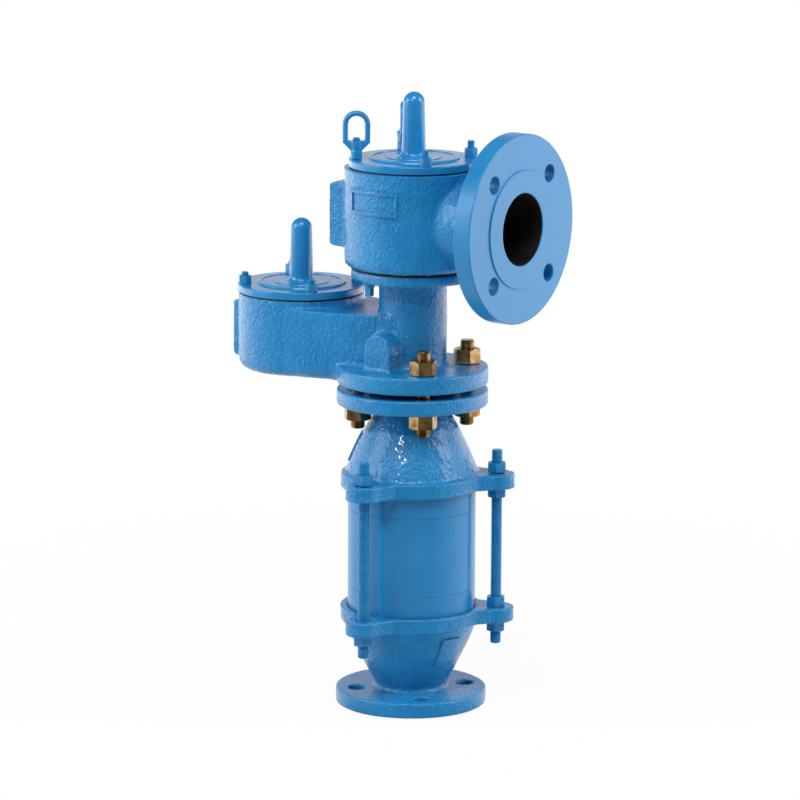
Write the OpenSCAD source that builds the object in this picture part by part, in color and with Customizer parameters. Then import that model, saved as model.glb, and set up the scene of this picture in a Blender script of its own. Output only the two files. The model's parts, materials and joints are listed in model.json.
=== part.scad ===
// Pipe-away pressure and vacuum relief (breather) valve on an in-line flame arrester.
// Millimetres, +Z up. The origin is the centre of the inlet flange's raised face.
// +X points out of the outlet flange, and the vacuum chamber lies on the -X side.

/* [Inlet and joint flanges] */
// Outer diameter of the inlet flange and of the joint flanges
flange_d = 165; // [155:1:175]
// Thickness of an arrester flange with its raised face
flange_t = 19; // [16:0.5:24]
// Bolt circle of the inlet flange and of the joint flanges
flange_pcd = 120.65; // [118:0.05:124]
// Bolt hole diameter of every flange
flange_hole_d = 19.05; // [18:0.05:20]
// Raised face diameter of the inlet flange and of the joint flanges
face_d = 92.1; // [86:0.1:96]
// Height of every raised face
face_h = 1.6; // [1:0.1:2.5]
// Bore of the inlet
inlet_bore_d = 52.5; // [48:0.5:56]
// Thickness of the gasket between arrester and valve
joint_gasket_t = 3; // [2:0.5:4]

/* [Outlet flange] */
// Outer diameter of the outlet flange
outlet_flange_d = 204; // [190:1:212]
// Thickness of the outlet flange with its raised face
outlet_flange_t = 22; // [19:0.5:26]
// Bolt circle of the outlet flange
outlet_pcd = 152.4; // [148:0.1:158]
// Raised face diameter of the outlet flange
outlet_face_d = 127; // [120:1:132]
// Bore of the outlet
outlet_bore_d = 77.9; // [70:0.1:82]
// Distance from the valve's axis to the outlet's raised face
outlet_reach = 140.5; // [130:0.5:155]
// Wall thickness of the outlet nozzle
nozzle_wall = 9.05; // [7:0.05:11]

/* [Arrester casings] */
// Length of the bell between flange and lug plate
bell_h = 74.5; // [66:0.5:84]
// Radius of the bell at the flange
bell_neck_r = 40; // [38:0.5:43]
// How far the bell's mouth stands out past the element housing
mouth_over_shell = 3.2; // [2:0.1:4.5]
// How far the bell's side is rounded outwards
bell_bulge = 0.2; // [0:0.05:0.4]
// Wall thickness of the bell
bell_wall = 11; // [8:0.5:13]
// Thickness of the lug plate
plate_t = 17; // [14:0.5:20]
// Width of the lug plate's rim round the element housing
plate_rim = 8.2; // [7:0.1:10]
// Radius of a lug's round end
lug_r = 20; // [17:0.5:22]
// Half width of a lug at its root
lug_root = 33; // [26:1:36]
// Depth of the groove that the element stack sits in
stack_groove = 3; // [2.5:0.5:4]

/* [Element stack] */
// Outer radius of the element housing and the spacer rings
shell_r = 69.8; // [69:0.1:70.5]
// Wall thickness of the element housing
shell_wall = 7.8; // [6:0.1:9.5]
// Height of the element housing
shell_h = 87; // [70:1:100]
// Height of a spacer ring
ring_h = 24; // [20:0.5:28]
// Wall thickness of a spacer ring
ring_wall = 16.8; // [15:0.1:19]
// Thickness of the gasket between spacer ring and casing
stack_gasket_t = 2; // [1.5:0.5:2.5]
// Thickness of a support grid
grid_t = 6; // [4:0.5:8]
// Width of a support grid's bars
grid_bar = 4; // [3:0.5:6]
// Radius of the element's core
core_r = 10; // [8:0.5:12]
// Number of crimped layers round the core
ribbon_layers = 7; // [5:1:8]
// Width of one crimp along its layer
crimp_pitch = 9; // [8:0.5:12]
// Radial thickness of a ribbon
ribbon_t = 0.8; // [0.6:0.1:1]

/* [Tie rods] */
// Diameter of a tie rod
rod_d = 12; // [10:0.5:14]
// Distance from the element housing's side to a tie rod's axis
rod_standoff = 23; // [21:0.1:25]
// Length of rod that stands out past its nut
rod_end = 14; // [8:0.5:18]
// Width across flats of a tie rod nut
rod_nut_af = 19; // [18:0.5:20]
// Height of a tie rod nut
rod_nut_h = 10.8; // [9:0.1:12]

/* [Flange studs] */
// Diameter of a flange stud
stud_d = 15.9; // [14:0.1:16.5]
// Width across flats of a flange nut
stud_nut_af = 27; // [24:0.5:28]
// Height of a flange nut
stud_nut_h = 15.9; // [13:0.1:17]
// Length of stud that stands out past its nut
stud_end = 9.5; // [5:0.5:12]
// Depth of the tapped holes under the duct
stud_tap_depth = 14; // [12:0.5:16]

/* [Valve body] */
// Thickness of the body's flange with its raised face
body_flange_t = 21; // [19:0.5:24]
// Wall thickness of the column
column_wall = 9.7; // [8:0.1:12]
// How much wider the column's bore is than the inlet's, at each side
column_flare = 1.75; // [0.5:0.05:2.5]
// Height of the column between its flange and its disc
column_h = 94.5; // [90:0.5:110]
// How far the disc under the pressure housing stays inside the housing's side
disc_inset = 8; // [5.5:0.1:8.5]
// Thickness of that disc
disc_t = 12; // [11:0.5:14]
// Width of the arched boss on the front of the column
boss_w = 36; // [30:1:40]
// Height of the arched boss above the flange
boss_h = 41; // [32:1:46]
// Distance from the column's axis to the face of the arched boss
boss_reach = 60; // [54:1:64]
// How far the arched boss lies towards the vacuum chamber
boss_offset = 6.5; // [0:0.5:8]

/* [Vacuum chamber] */
// Distance from the valve's axis to the vacuum chamber's axis
vacuum_x = 148; // [145:0.5:156]
// How far the vacuum lid stands out past its chamber
lid_overhang = 0.5; // [0:0.1:1.3]
// Height of the vacuum chamber
chamber_h = 85.5; // [82:0.5:92]
// How far the chamber's bottom lies below the top of the body's flange
chamber_drop = 20; // [14:0.5:20]
// Wall thickness of the chamber
chamber_wall = 9; // [7:0.5:10]
// Thickness of the chamber's floor
chamber_floor = 12; // [11:0.5:13]
// Radius of the rounding round the chamber's bottom
chamber_round = 13; // [8:0.5:14]
// Height of the chamber's rim above the duct
rim_above_duct = 8; // [6:0.5:10]
// Half width of the duct's passage at the column
duct_passage = 25; // [20:0.5:26]
// How far the chamber's pad stands out from its side
vacuum_pad_t = 5.7; // [4:0.1:8]
// Half width of the chamber's pad
vacuum_pad_half = 26; // [20:1:30]
// Height of the chamber's pad
vacuum_pad_h = 64; // [50:1:66]

/* [Pressure housing] */
// How far the pressure housing stands out past its lid
housing_lip = 5.2; // [3.5:0.1:7]
// Wall thickness of the pressure housing
housing_wall = 9.5; // [8:0.1:11]
// Height of the pressure housing
housing_h = 108.5; // [106:0.5:118]
// Thickness of the housing's floor
housing_floor = 8.5; // [8:0.5:10]
// Radius of the rounding round the housing's bottom
housing_round = 9; // [7:0.5:10]
// Height of the outlet's axis above the housing's bottom
outlet_rise = 53.4; // [52:0.1:56]
// Thickness of the gasket under the housing
housing_gasket_t = 1.5; // [1:0.1:2]
// How far the housing's pad stands out from its side
pressure_pad_t = 14.5; // [10:0.5:18]
// Half width of the housing's pad
pressure_pad_half = 32; // [26:1:36]
// Height of the housing's pad
pressure_pad_h = 71; // [60:1:76]

/* [Lids] */
// Radius of a lid
lid_r = 70.3; // [69.5:0.1:72]
// Thickness of a lid
lid_t = 8; // [7:0.5:10]
// Distance from a lid's edge to its raised middle
lid_step_inset = 20.8; // [18:0.1:26]
// Height of a lid's raised middle
lid_step_h = 2; // [1:0.1:3]
// Thickness of a lid gasket
lid_gasket_t = 1.5; // [1:0.1:2]
// Width of the rim that a lid closes
rim_w = 14.3; // [13:0.1:16]
// Height of the rim that the lid studs are screwed into
rim_h = 18; // [16:0.5:20]
// Distance from a lid's edge to the lid studs
lid_stud_inset = 7.5; // [7:0.1:8.5]
// Diameter of a lid stud
lid_stud_d = 8; // [6:0.5:8.5]
// Width across flats of a lid nut
lid_nut_af = 13; // [11:0.5:14]
// Height of a lid nut
lid_nut_h = 8; // [6.5:0.5:10]
// Height of a guide post above its lid
post_h = 72; // [68:1:80]
// Radius of a guide post at its foot
post_foot_r = 13.2; // [12.7:0.1:14]
// Radius of a guide post's rounded end
post_end_r = 11.8; // [11:0.1:12.5]
// Width of an eye nut's opening
eye_gap = 17.5; // [16:0.5:20]
// Diameter of an eye nut's bar
eye_bar_d = 6.4; // [6:0.1:7.5]
// Length of an eye nut's straight sides
eye_side = 17.5; // [12:0.5:22]

/* [Pallets] */
// How far a pallet reaches past its seat's lip
pallet_overlap = 5; // [3:0.5:6]
// Thickness of a pallet
pallet_t = 3; // [2.5:0.5:4]
// Distance from a seat's bore to the outside of its sealing lip
seat_land = 4.75; // [3.75:0.05:5.5]
// Height of a seat's lip above the floor round it
seat_rise = 6; // [4:0.5:8]
// Diameter of a pallet's stem
stem_d = 10; // [8:0.5:11]
// Thickness of one weight plate
weight_t = 6; // [4:0.5:8]
// Number of weight plates on the pressure pallet
pressure_weights = 3; // [1:1:4]
// Lift of the pressure pallet
pressure_lift = 18; // [12:1:20]
// Lift of the vacuum pallet
vacuum_lift = 15; // [10:1:16]

/* [Hidden] */
$fn = 96;

// Colours as the photograph shows them
paint = "#4a90cd";
zinc = "#b08a4a";
steel = "#b9bcc0";
dark = "#33363a";
film = "#e8e6df";

// Clearances
thread_gap = 0.1;
slip_gap = 0.2;
guide_gap = 0.05;
seat_gap = 0.2;
rod_slack = 0.75;
gasket_slack = 0.5;
lid_hole_slack = 0.5;
washer_slack = 0.3;
cut = 1;

// Roundings and small details
flange_fillet = 7;
neck_fillet = 5;
disc_fillet = 4;
pad_round = 5;
edge_round = 1.5;
edge_steps = 3;
arc_steps = 6;
dome_steps = 10;
bell_steps = 10;
hull_fn = 32;
hull_steps = 4;
hull_inset = 0.5;
end_chamfer = 0.2;
flat_turn = 30;

// Flange values
flange_r = flange_d / 2;
face_r = face_d / 2;
inlet_bore_r = inlet_bore_d / 2;
bolt_r = flange_pcd / 2;
hole_r = flange_hole_d / 2;
outlet_flange_r = outlet_flange_d / 2;
outlet_bore_r = outlet_bore_d / 2;
nozzle_r = outlet_bore_r + nozzle_wall;
stud_r = stud_d / 2;
bolt_angles = [45, 135, 225, 315];
through_angles = [45, 315];
tapped_angles = [135, 225];

// Radii of the arrester that follow from its element housing
shell_bore_r = shell_r - shell_wall;
ring_bore_r = shell_r - ring_wall;
bell_mouth_r = shell_r + mouth_over_shell;
plate_r = shell_r + plate_rim;
rod_circle_r = shell_r + rod_standoff;

// Radii of the valve that follow from its inlet and its lids
column_bore_r = inlet_bore_r + column_flare;
column_r = column_bore_r + column_wall;
chamber_r = lid_r - lid_overhang;
housing_r = lid_r + housing_lip;
housing_bore_r = housing_r - housing_wall;
disc_r = housing_r - disc_inset;
rim_bore_r = lid_r - rim_w;
lid_stud_circle_r = lid_r - lid_stud_inset;
lid_step_r = lid_r - lid_step_inset;

// Lug plates
lug_blend = 0.3;
lug_root_share = 0.8;
lug_root_r = plate_r * lug_root_share;
shelf_taper = 4;

// Heights of the arrester, from the inlet face upwards
lower_plate_z = flange_t + bell_h;
lower_plate_top = lower_plate_z + plate_t;
stack_z = lower_plate_top - stack_groove;
ring_z = stack_z + stack_gasket_t;
shell_z = ring_z + ring_h;
upper_ring_z = shell_z + shell_h;
stack_top = upper_ring_z + ring_h + stack_gasket_t;
upper_plate_z = stack_top - stack_groove;
upper_plate_top = upper_plate_z + plate_t;
arrester_h = upper_plate_top + bell_h + flange_t;
upper_rim_z = upper_plate_top + bell_h;

// Heights of the valve
body_z = arrester_h + joint_gasket_t;
body_flange_top = body_z + body_flange_t;
disc_z = body_flange_top + column_h;
disc_top = disc_z + disc_t;
housing_z = disc_top + housing_gasket_t;
housing_top = housing_z + housing_h;
outlet_z = housing_z + outlet_rise;
pressure_lid_z = housing_top + lid_gasket_t;
chamber_z = body_flange_top - chamber_drop;
chamber_top = chamber_z + chamber_h;
vacuum_lid_z = chamber_top + lid_gasket_t;
duct_top = chamber_top - rim_above_duct;

// Tie rods
rod_r = rod_d / 2;
rod_angles = [30, 150, 270];
jacked_angle = 30;
rod_low = lower_plate_z - rod_nut_h - rod_end;
rod_high = upper_plate_top + rod_nut_h + rod_end;

// Element
grid_rim = 6;
grid_middle_r = shell_bore_r / 2;
grid_angles = [0, 45, 90, 135];
layer_pitch = (shell_bore_r - core_r) / ribbon_layers;

// Hollows of the body and of the pressure housing
bore_taper = 4;
passage_rise = 2;
rim_taper = 6;
housing_rim_taper = 10;
nozzle_overlap = 16;
chamber_bore_r = chamber_r - chamber_wall;
chamber_mouth_share = 0.8;
chamber_mouth = chamber_bore_r * chamber_mouth_share;
vacuum_pad_drop = 2;
vacuum_pad_z = chamber_z + chamber_h / 2 - vacuum_pad_drop;

// Seats: a shoulder carries each ring in its floor
seat_bore_r = inlet_bore_r;
seat_lip_r = seat_bore_r + seat_land;
seat_rim = 7;
seat_ring_r = seat_lip_r + seat_rim;
seat_shoulder = 5;
seat_ring_low = 8;
seat_room = 5;
seat_opening_r = seat_ring_r + seat_room;
seat_ring_edge = 1;
lip_w = 2.5;
lip_side = 1;
lip_h = 2;
lip_chamfer = 3;
pressure_seat_floor = housing_z + housing_floor;
pressure_seat_top = pressure_seat_floor + seat_rise;
vacuum_seat_floor = chamber_z + chamber_floor;
vacuum_seat_top = vacuum_seat_floor + seat_rise;

// Pallet stack, measured up from the seat's lip
seal_t = 1;
stem_r = stem_d / 2;
pallet_r = seat_lip_r + pallet_overlap;
seal_inset = 1;
seal_r = pallet_r - seal_inset;
seal_hole_w = 7;
seal_hole_r = stem_r + seal_hole_w;
retainer_t = 3;
retainer_play = 3;
retainer_r = seat_bore_r - retainer_play;
retainer_chamfer = 1;
skirt = 1;
hub_wall = 4;
hub_r = stem_r + hub_wall;
hub_h = 5;
weight_inset = 6;
weight_r = pallet_r - weight_inset;
stem_head_w = 3;
stem_head_r = stem_r + stem_head_w;
stem_head_h = 4;
stem_nut_wall = 3.5;
stem_nut_af = stem_d + 2 * stem_nut_wall;
stem_nut_h = 8;
pallet_rise = seat_gap + seal_t;
pressure_base = pressure_seat_top + pallet_rise;
vacuum_base = vacuum_seat_top + pallet_rise;

// Lids and guides
stem_play = 1.5;
stem_bore_r = stem_r + stem_play;
bush_wall = 3;
bush_r = stem_r + bush_wall;
bush_h = 22;
hub_drop = 14;
lid_hub_wall = 6;
lid_hub_r = bush_r + lid_hub_wall;
stem_bore_top = lid_t + post_h - post_end_r;
spigot_h = 2;
stem_stop = 3;
post_fillet = 4;
lid_stud_r = lid_stud_d / 2;
lid_stud_tap = 14;
washer_t = 1.6;
washer_share = 0.53;
washer_r = lid_nut_af * washer_share;
plain_tip = 4;
tall_tip = 8;
eye_collar_r = 6.4;
eye_taper = 0.6;
eye_neck_low_r = eye_collar_r - eye_taper;
eye_neck_high_r = eye_collar_r + eye_taper;
eye_base_h = 9.4;
eye_shoulder_h = 11;
eye_corner = 2;
eye_angles = [135, 225];
plain_angles = [45, 315];
eye_facing = 34;
eye_bar_r = eye_bar_d / 2;
eye_ring_r = eye_gap / 2 + eye_bar_r;
eye_low = eye_base_h + eye_shoulder_h;
eye_stud_end = 3;
eye_tip = eye_low + eye_stud_end;

// Housing screws, drain plug and screen
housing_screw_r = 4;
housing_screw_margin = 2.5;
housing_screw_circle = (seat_opening_r + disc_r - housing_screw_margin) / 2;
housing_screw_angles = [30, 120, 210, 300];
housing_screw_head_r = 6.5;
housing_screw_head_h = 8;
housing_screw_depth = 9;
housing_socket_af = 6;
plug_angle = 247;
plug_offset = 2;
plug_circle = housing_screw_circle + plug_offset;
plug_r = 4.5;
plug_square = 7;
plug_collar_r = 6;
plug_collar_h = 4;
plug_head_h = 10;
screen_rim = 6;
screen_r = seat_ring_r + screen_rim;
screen_t = 1.5;
screen_hole_r = 2.6;
screen_pitch = 7;
screen_margin = 1;
retainer_ring_t = 3;
screen_recess = screen_t + retainer_ring_t;
retainer_ring_w = 8;
retainer_ring_bore = screen_r - retainer_ring_w;
screen_screw_r = 2;
screen_screw_circle = screen_r - retainer_ring_w / 2;
screen_screw_depth = 5;
screen_screw_head_r = 3.4;
screen_screw_head_h = 1.6;

// Points along an arc about a centre, from one angle to the other
function arc(c, r, a0, a1, n = arc_steps) =
  [for (i = [0:n]) let (a = a0 + (a1 - a0) * i / n) [c[0] + r * cos(a), c[1] + r * sin(a)]];

// Side of the bell from neck to mouth, t running from 0 to 1
function bell_r(t) = bell_neck_r + (bell_mouth_r - bell_neck_r) * (t * (1 + bell_bulge) - bell_bulge * t * t);

// Corner points of a zigzag ring, n crimps round
function zigzag(lo, hi, n) =
  [for (i = [0:2 * n - 1]) let (r = i % 2 == 0 ? lo : hi) [r * cos(180 * i / n), r * sin(180 * i / n)]];

// Places one child at each angle of a circle
module around(r, angles) {
  for (a = angles)
    rotate(a) translate([r, 0, 0]) rotate(-a) children();
}

// Places one nut at each angle of a circle, with a flat towards the middle
module nuts_around(r, angles) {
  for (a = angles)
    rotate(a) translate([r, 0, 0]) rotate(flat_turn) children();
}

// Turns what is drawn along +Z to run along +X at the outlet's height
module along_outlet() {
  translate([0, 0, outlet_z]) rotate([0, 90, 0]) children();
}

// Flat ring with a round hole
module ring(r_out, r_in, h) {
  difference() {
    cylinder(r = r_out, h = h);
    translate([0, 0, -cut]) cylinder(r = r_in, h = h + 2 * cut);
  }
}

// Hexagon nut with turned corners, standing on z = 0
module hex_nut(af, h, bore_r) {
  corner_r = af / sqrt(3);
  turned = corner_r - af / 2;
  difference() {
    intersection() {
      cylinder(r = corner_r, h = h, $fn = 6);
      rotate_extrude() polygon([
        [0, 0], [af / 2, 0], [corner_r, turned / 2], [corner_r, h - turned / 2], [af / 2, h], [0, h]
      ]);
    }
    translate([0, 0, -cut]) cylinder(r = bore_r, h = h + 2 * cut);
  }
}

// Round bar with turned ends, standing on z = 0
module stud_bar(r, h) {
  turned = r * end_chamfer;
  rotate_extrude() polygon([
    [0, 0], [r - turned, 0], [r, turned], [r, h - turned], [r - turned, h], [0, h]
  ]);
}

// Outline of a lug plate: a disc with three rod lugs
module plate_outline() {
  circle(r = plate_r);
  for (a = rod_angles) rotate(a) {
    translate([rod_circle_r, 0]) circle(r = lug_r);
    polygon([
      [plate_r / 2, -lug_root], [lug_root_r, -lug_root],
      [rod_circle_r, lug_blend - lug_r], [rod_circle_r, lug_r - lug_blend],
      [lug_root_r, lug_root], [plate_r / 2, lug_root]
    ]);
  }
}

// One end casting of the arrester, with its flange face on z = 0
module end_casting() {
  bell_z = flange_t + neck_fillet;
  side_h = lower_plate_z - bell_z;
  side = [for (i = [1:bell_steps]) [bell_r(i / bell_steps), bell_z + side_h * i / bell_steps]];
  groove_r = shell_r + slip_gap;
  difference() {
    union() {
      rotate_extrude() polygon(concat(
        [[0, 0], [face_r, 0], [face_r, face_h]],
        arc([flange_r - edge_round, face_h + edge_round], edge_round, -90, 0, edge_steps),
        arc([flange_r - edge_round, flange_t - edge_round], edge_round, 0, 90, edge_steps),
        arc([bell_neck_r + neck_fillet, bell_z], neck_fillet, 270, 180),
        side,
        [[bell_mouth_r, stack_z], [0, stack_z]]
      ));
      translate([0, 0, lower_plate_z]) linear_extrude(plate_t) plate_outline();
    }
    rotate_extrude() polygon([
      [0, -cut], [inlet_bore_r, -cut], [inlet_bore_r, bell_z], [bell_mouth_r - bell_wall, lower_plate_z],
      [ring_bore_r, lower_plate_z + shelf_taper], [ring_bore_r, stack_z], [groove_r, stack_z],
      [groove_r, lower_plate_top + cut], [0, lower_plate_top + cut]
    ]);
    around(bolt_r, bolt_angles) translate([0, 0, -cut]) cylinder(r = hole_r, h = flange_t + 2 * cut);
    around(rod_circle_r, rod_angles)
      translate([0, 0, lower_plate_z - cut]) cylinder(r = rod_r + rod_slack, h = plate_t + 2 * cut);
  }
}

module lower_casing() {
  color(paint) end_casting();
}

module upper_casing() {
  color(paint) translate([0, 0, arrester_h]) mirror([0, 0, 1]) end_casting();
}

// Ring at one end of the element, with a ledge for its support grid at the top
module spacer_ring() {
  rotate_extrude() polygon([
    [ring_bore_r, 0], [shell_r, 0], [shell_r, ring_h], [shell_bore_r, ring_h],
    [shell_bore_r, ring_h - grid_t], [ring_bore_r, ring_h - grid_t]
  ]);
}

module lower_spacer_ring() {
  color(paint) translate([0, 0, ring_z]) spacer_ring();
}

module upper_spacer_ring() {
  color(paint) translate([0, 0, upper_ring_z + ring_h]) mirror([0, 0, 1]) spacer_ring();
}

module element_housing() {
  color(paint) translate([0, 0, shell_z]) ring(shell_r, shell_bore_r, shell_h);
}

module stack_gaskets() {
  color(dark) for (z = [stack_z, stack_top - stack_gasket_t])
    translate([0, 0, z]) ring(shell_r, ring_bore_r, stack_gasket_t);
}

// Spoked plate that holds the element in place
module support_grid() {
  linear_extrude(grid_t) {
    difference() {
      circle(r = shell_bore_r - slip_gap);
      circle(r = shell_bore_r - grid_rim);
    }
    difference() {
      circle(r = grid_middle_r + grid_bar / 2);
      circle(r = grid_middle_r - grid_bar / 2);
    }
    for (a = grid_angles) rotate(a)
      square([2 * shell_bore_r - grid_rim, grid_bar], center = true);
  }
}

module lower_support_grid() {
  color(steel) translate([0, 0, shell_z - grid_t]) support_grid();
}

module upper_support_grid() {
  color(steel) translate([0, 0, upper_ring_z]) support_grid();
}

module element_core() {
  color(steel) translate([0, 0, shell_z]) cylinder(r = core_r, h = shell_h);
}

// Radius of the flat ribbon outside layer k, the core's surface being layer 0
function layer_r(k) = core_r + k * layer_pitch;

module crimped_ribbons() {
  color(steel) translate([0, 0, shell_z]) linear_extrude(shell_h)
    for (k = [0:ribbon_layers - 1]) {
      lo = layer_r(k) + slip_gap + ribbon_t;
      hi = layer_r(k + 1) - slip_gap - ribbon_t;
      crimps = round(PI * (lo + hi) / crimp_pitch);
      difference() {
        polygon(zigzag(lo, hi, crimps));
        polygon(zigzag(lo - ribbon_t, hi - ribbon_t, crimps));
      }
    }
}

module flat_ribbons() {
  color(steel) translate([0, 0, shell_z])
    for (k = [1:ribbon_layers - 1])
      ring(layer_r(k), layer_r(k) - ribbon_t, shell_h);
}

module tie_rods() {
  color(paint) around(rod_circle_r, rod_angles)
    translate([0, 0, rod_low]) stud_bar(rod_r, rod_high - rod_low);
}

module tie_rod_nut() {
  hex_nut(rod_nut_af, rod_nut_h, rod_r + thread_gap);
}

module tie_rod_nuts() {
  color(paint) nuts_around(rod_circle_r, rod_angles) {
    translate([0, 0, lower_plate_z - rod_nut_h]) tie_rod_nut();
    translate([0, 0, upper_plate_top]) tie_rod_nut();
  }
}

// Nuts inside the lugs of one rod, for pushing the two castings apart
module jack_nuts() {
  color(paint) nuts_around(rod_circle_r, [jacked_angle]) {
    translate([0, 0, lower_plate_top]) tie_rod_nut();
    translate([0, 0, upper_plate_z - rod_nut_h]) tie_rod_nut();
  }
}

module joint_gasket() {
  color(dark) translate([0, 0, arrester_h])
    ring(bolt_r - stud_r - gasket_slack, inlet_bore_r, joint_gasket_t);
}

// Two studs run through both flanges, and two are screwed in under the duct
module flange_studs() {
  low = upper_rim_z - stud_nut_h - stud_end;
  tapped_top = body_z + face_h + stud_tap_depth - cut;
  color(zinc) {
    around(bolt_r, through_angles)
      translate([0, 0, low]) stud_bar(stud_r, body_flange_top + stud_nut_h + stud_end - low);
    around(bolt_r, tapped_angles)
      translate([0, 0, low]) stud_bar(stud_r, tapped_top - low);
  }
}

module flange_nut() {
  hex_nut(stud_nut_af, stud_nut_h, stud_r + thread_gap);
}

module flange_nuts() {
  color(zinc) {
    nuts_around(bolt_r, bolt_angles)
      translate([0, 0, upper_rim_z - stud_nut_h]) flange_nut();
    nuts_around(bolt_r, through_angles)
      translate([0, 0, body_flange_top]) flange_nut();
  }
}

// Places children on the vacuum chamber's axis
module at_vacuum(z = 0) {
  translate([-vacuum_x, 0, z]) children();
}

// Solid of revolution with a rounded bottom edge
module round_bottomed(r, h, round) {
  rotate_extrude() polygon(concat(
    [[0, 0]], arc([r - round, round], round, -90, 0), [[r, h], [0, h]]
  ));
}

// Pad with rounded outer corners on the -X side of a chamber, standing on its axis
module side_pad(depth, half, h) {
  rotate([90, 0, 0]) translate([0, 0, -half]) linear_extrude(2 * half) polygon(concat(
    [[0, -h / 2]],
    arc([pad_round - depth, pad_round - h / 2], pad_round, 270, 180),
    arc([pad_round - depth, h / 2 - pad_round], pad_round, 180, 90),
    [[0, h / 2]]
  ));
}

// Column with its flange at the bottom and its disc at the top
module column_form() {
  neck_foot = body_flange_top + flange_fillet;
  rotate_extrude() polygon(concat(
    [[0, body_z], [face_r, body_z], [face_r, body_z + face_h]],
    arc([flange_r - edge_round, body_z + face_h + edge_round], edge_round, -90, 0, edge_steps),
    arc([flange_r - edge_round, body_flange_top - edge_round], edge_round, 0, 90, edge_steps),
    arc([column_r + flange_fillet, neck_foot], flange_fillet, 270, 180),
    arc([column_r + disc_fillet, disc_z - disc_fillet], disc_fillet, 180, 90),
    arc([disc_r - edge_round, disc_z + edge_round], edge_round, -90, 0, edge_steps),
    [[disc_r, disc_top], [0, disc_top]]
  ));
}

// One rounded end of the duct, standing on z = 0
module duct_end(r) {
  rotate_extrude($fn = hull_fn) polygon(concat(
    [[0, 0]], arc([r - chamber_round, chamber_round], chamber_round, -90, 0, hull_steps),
    [[r, duct_top - chamber_z], [0, duct_top - chamber_z]]
  ));
}

// Duct whose walls run straight from the chamber to the column
module duct_form() {
  hull() {
    at_vacuum(chamber_z) duct_end(chamber_r - hull_inset);
    translate([0, 0, chamber_z]) duct_end(column_r - hull_inset);
  }
}

// Arched boss on the front of the column
module arched_boss() {
  boss_r = boss_w / 2;
  spring = body_flange_top + boss_h - boss_r;
  translate([-boss_offset, 0, 0]) rotate([90, 0, 0]) linear_extrude(boss_reach) {
    translate([0, spring]) circle(r = boss_r);
    translate([-boss_r, body_flange_top - cut]) square([boss_w, spring - body_flange_top + cut]);
  }
}

// Space inside the body: the column, the chamber and the passage between them
module body_hollow() {
  passage_low = body_flange_top + passage_rise;
  passage_high = duct_top - chamber_wall;
  rim_low = chamber_top - rim_h;
  rotate_extrude() polygon([
    [0, body_z - cut], [inlet_bore_r, body_z - cut], [inlet_bore_r, body_flange_top],
    [column_bore_r, body_flange_top + bore_taper], [column_bore_r, disc_top - seat_ring_low],
    [seat_ring_r, disc_top - seat_ring_low], [seat_ring_r, disc_top + cut], [0, disc_top + cut]
  ]);
  at_vacuum() rotate_extrude() polygon([
    [0, chamber_z - cut], [screen_r + slip_gap, chamber_z - cut],
    [screen_r + slip_gap, chamber_z + screen_recess],
    [seat_ring_r - seat_shoulder, chamber_z + screen_recess],
    [seat_ring_r - seat_shoulder, vacuum_seat_floor - seat_shoulder],
    [seat_ring_r, vacuum_seat_floor - seat_shoulder], [seat_ring_r, vacuum_seat_floor],
    [chamber_bore_r, vacuum_seat_floor], [chamber_bore_r, rim_low - rim_taper], [rim_bore_r, rim_low],
    [rim_bore_r, chamber_top + cut], [0, chamber_top + cut]
  ]);
  translate([0, 0, passage_low]) linear_extrude(passage_high - passage_low) polygon([
    [0, -duct_passage], [0, duct_passage],
    [-vacuum_x, chamber_mouth], [-vacuum_x, -chamber_mouth]
  ]);
}

module valve_body() {
  color(paint) difference() {
    union() {
      column_form();
      duct_form();
      at_vacuum(chamber_z) round_bottomed(chamber_r, chamber_h, chamber_round);
      at_vacuum(vacuum_pad_z) side_pad(chamber_r + vacuum_pad_t, vacuum_pad_half, vacuum_pad_h);
      arched_boss();
    }
    body_hollow();
    around(bolt_r, through_angles)
      translate([0, 0, body_z]) cylinder(r = hole_r, h = body_flange_t + cut);
    around(bolt_r, tapped_angles)
      translate([0, 0, body_z]) cylinder(r = stud_r + thread_gap, h = face_h + stud_tap_depth);
    at_vacuum(chamber_top - lid_stud_tap) around(lid_stud_circle_r, bolt_angles)
      cylinder(r = lid_stud_r + thread_gap, h = lid_stud_tap + cut);
    translate([0, 0, disc_top - housing_screw_depth]) around(housing_screw_circle, housing_screw_angles)
      cylinder(r = housing_screw_r + thread_gap, h = housing_screw_depth + cut);
    translate([0, 0, disc_z - cut]) around(plug_circle, [plug_angle])
      cylinder(r = plug_r + thread_gap, h = disc_t + 2 * cut);
    at_vacuum(chamber_z) around(screen_screw_circle, bolt_angles)
      cylinder(r = screen_screw_r + thread_gap, h = screen_recess + screen_screw_depth);
  }
}

// Seat ring screwed into a floor, from its lower end to the top of its lip
module seat_ring(low, shoulder, top) {
  ring_r = seat_ring_r - slip_gap;
  rotate_extrude() polygon([
    [seat_bore_r, low], [ring_r, low], [ring_r, shoulder], [seat_lip_r + lip_side, top - lip_h],
    [seat_lip_r, top], [seat_lip_r - lip_w, top], [seat_bore_r, top - lip_chamfer]
  ]);
}

module pressure_seat() {
  color(steel) seat_ring(disc_top - seat_ring_low, pressure_seat_floor, pressure_seat_top);
}

module vacuum_seat() {
  color(steel) at_vacuum()
    seat_ring(vacuum_seat_floor - seat_shoulder, vacuum_seat_floor + seat_ring_edge, vacuum_seat_top);
}

module housing_gasket() {
  color(dark) translate([0, 0, disc_top]) difference() {
    ring(housing_r - housing_round, seat_opening_r, housing_gasket_t);
    around(housing_screw_circle, housing_screw_angles)
      translate([0, 0, -cut]) cylinder(r = housing_screw_r + slip_gap, h = housing_gasket_t + 2 * cut);
    around(plug_circle, [plug_angle])
      translate([0, 0, -cut]) cylinder(r = plug_r + slip_gap, h = housing_gasket_t + 2 * cut);
  }
}

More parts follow.
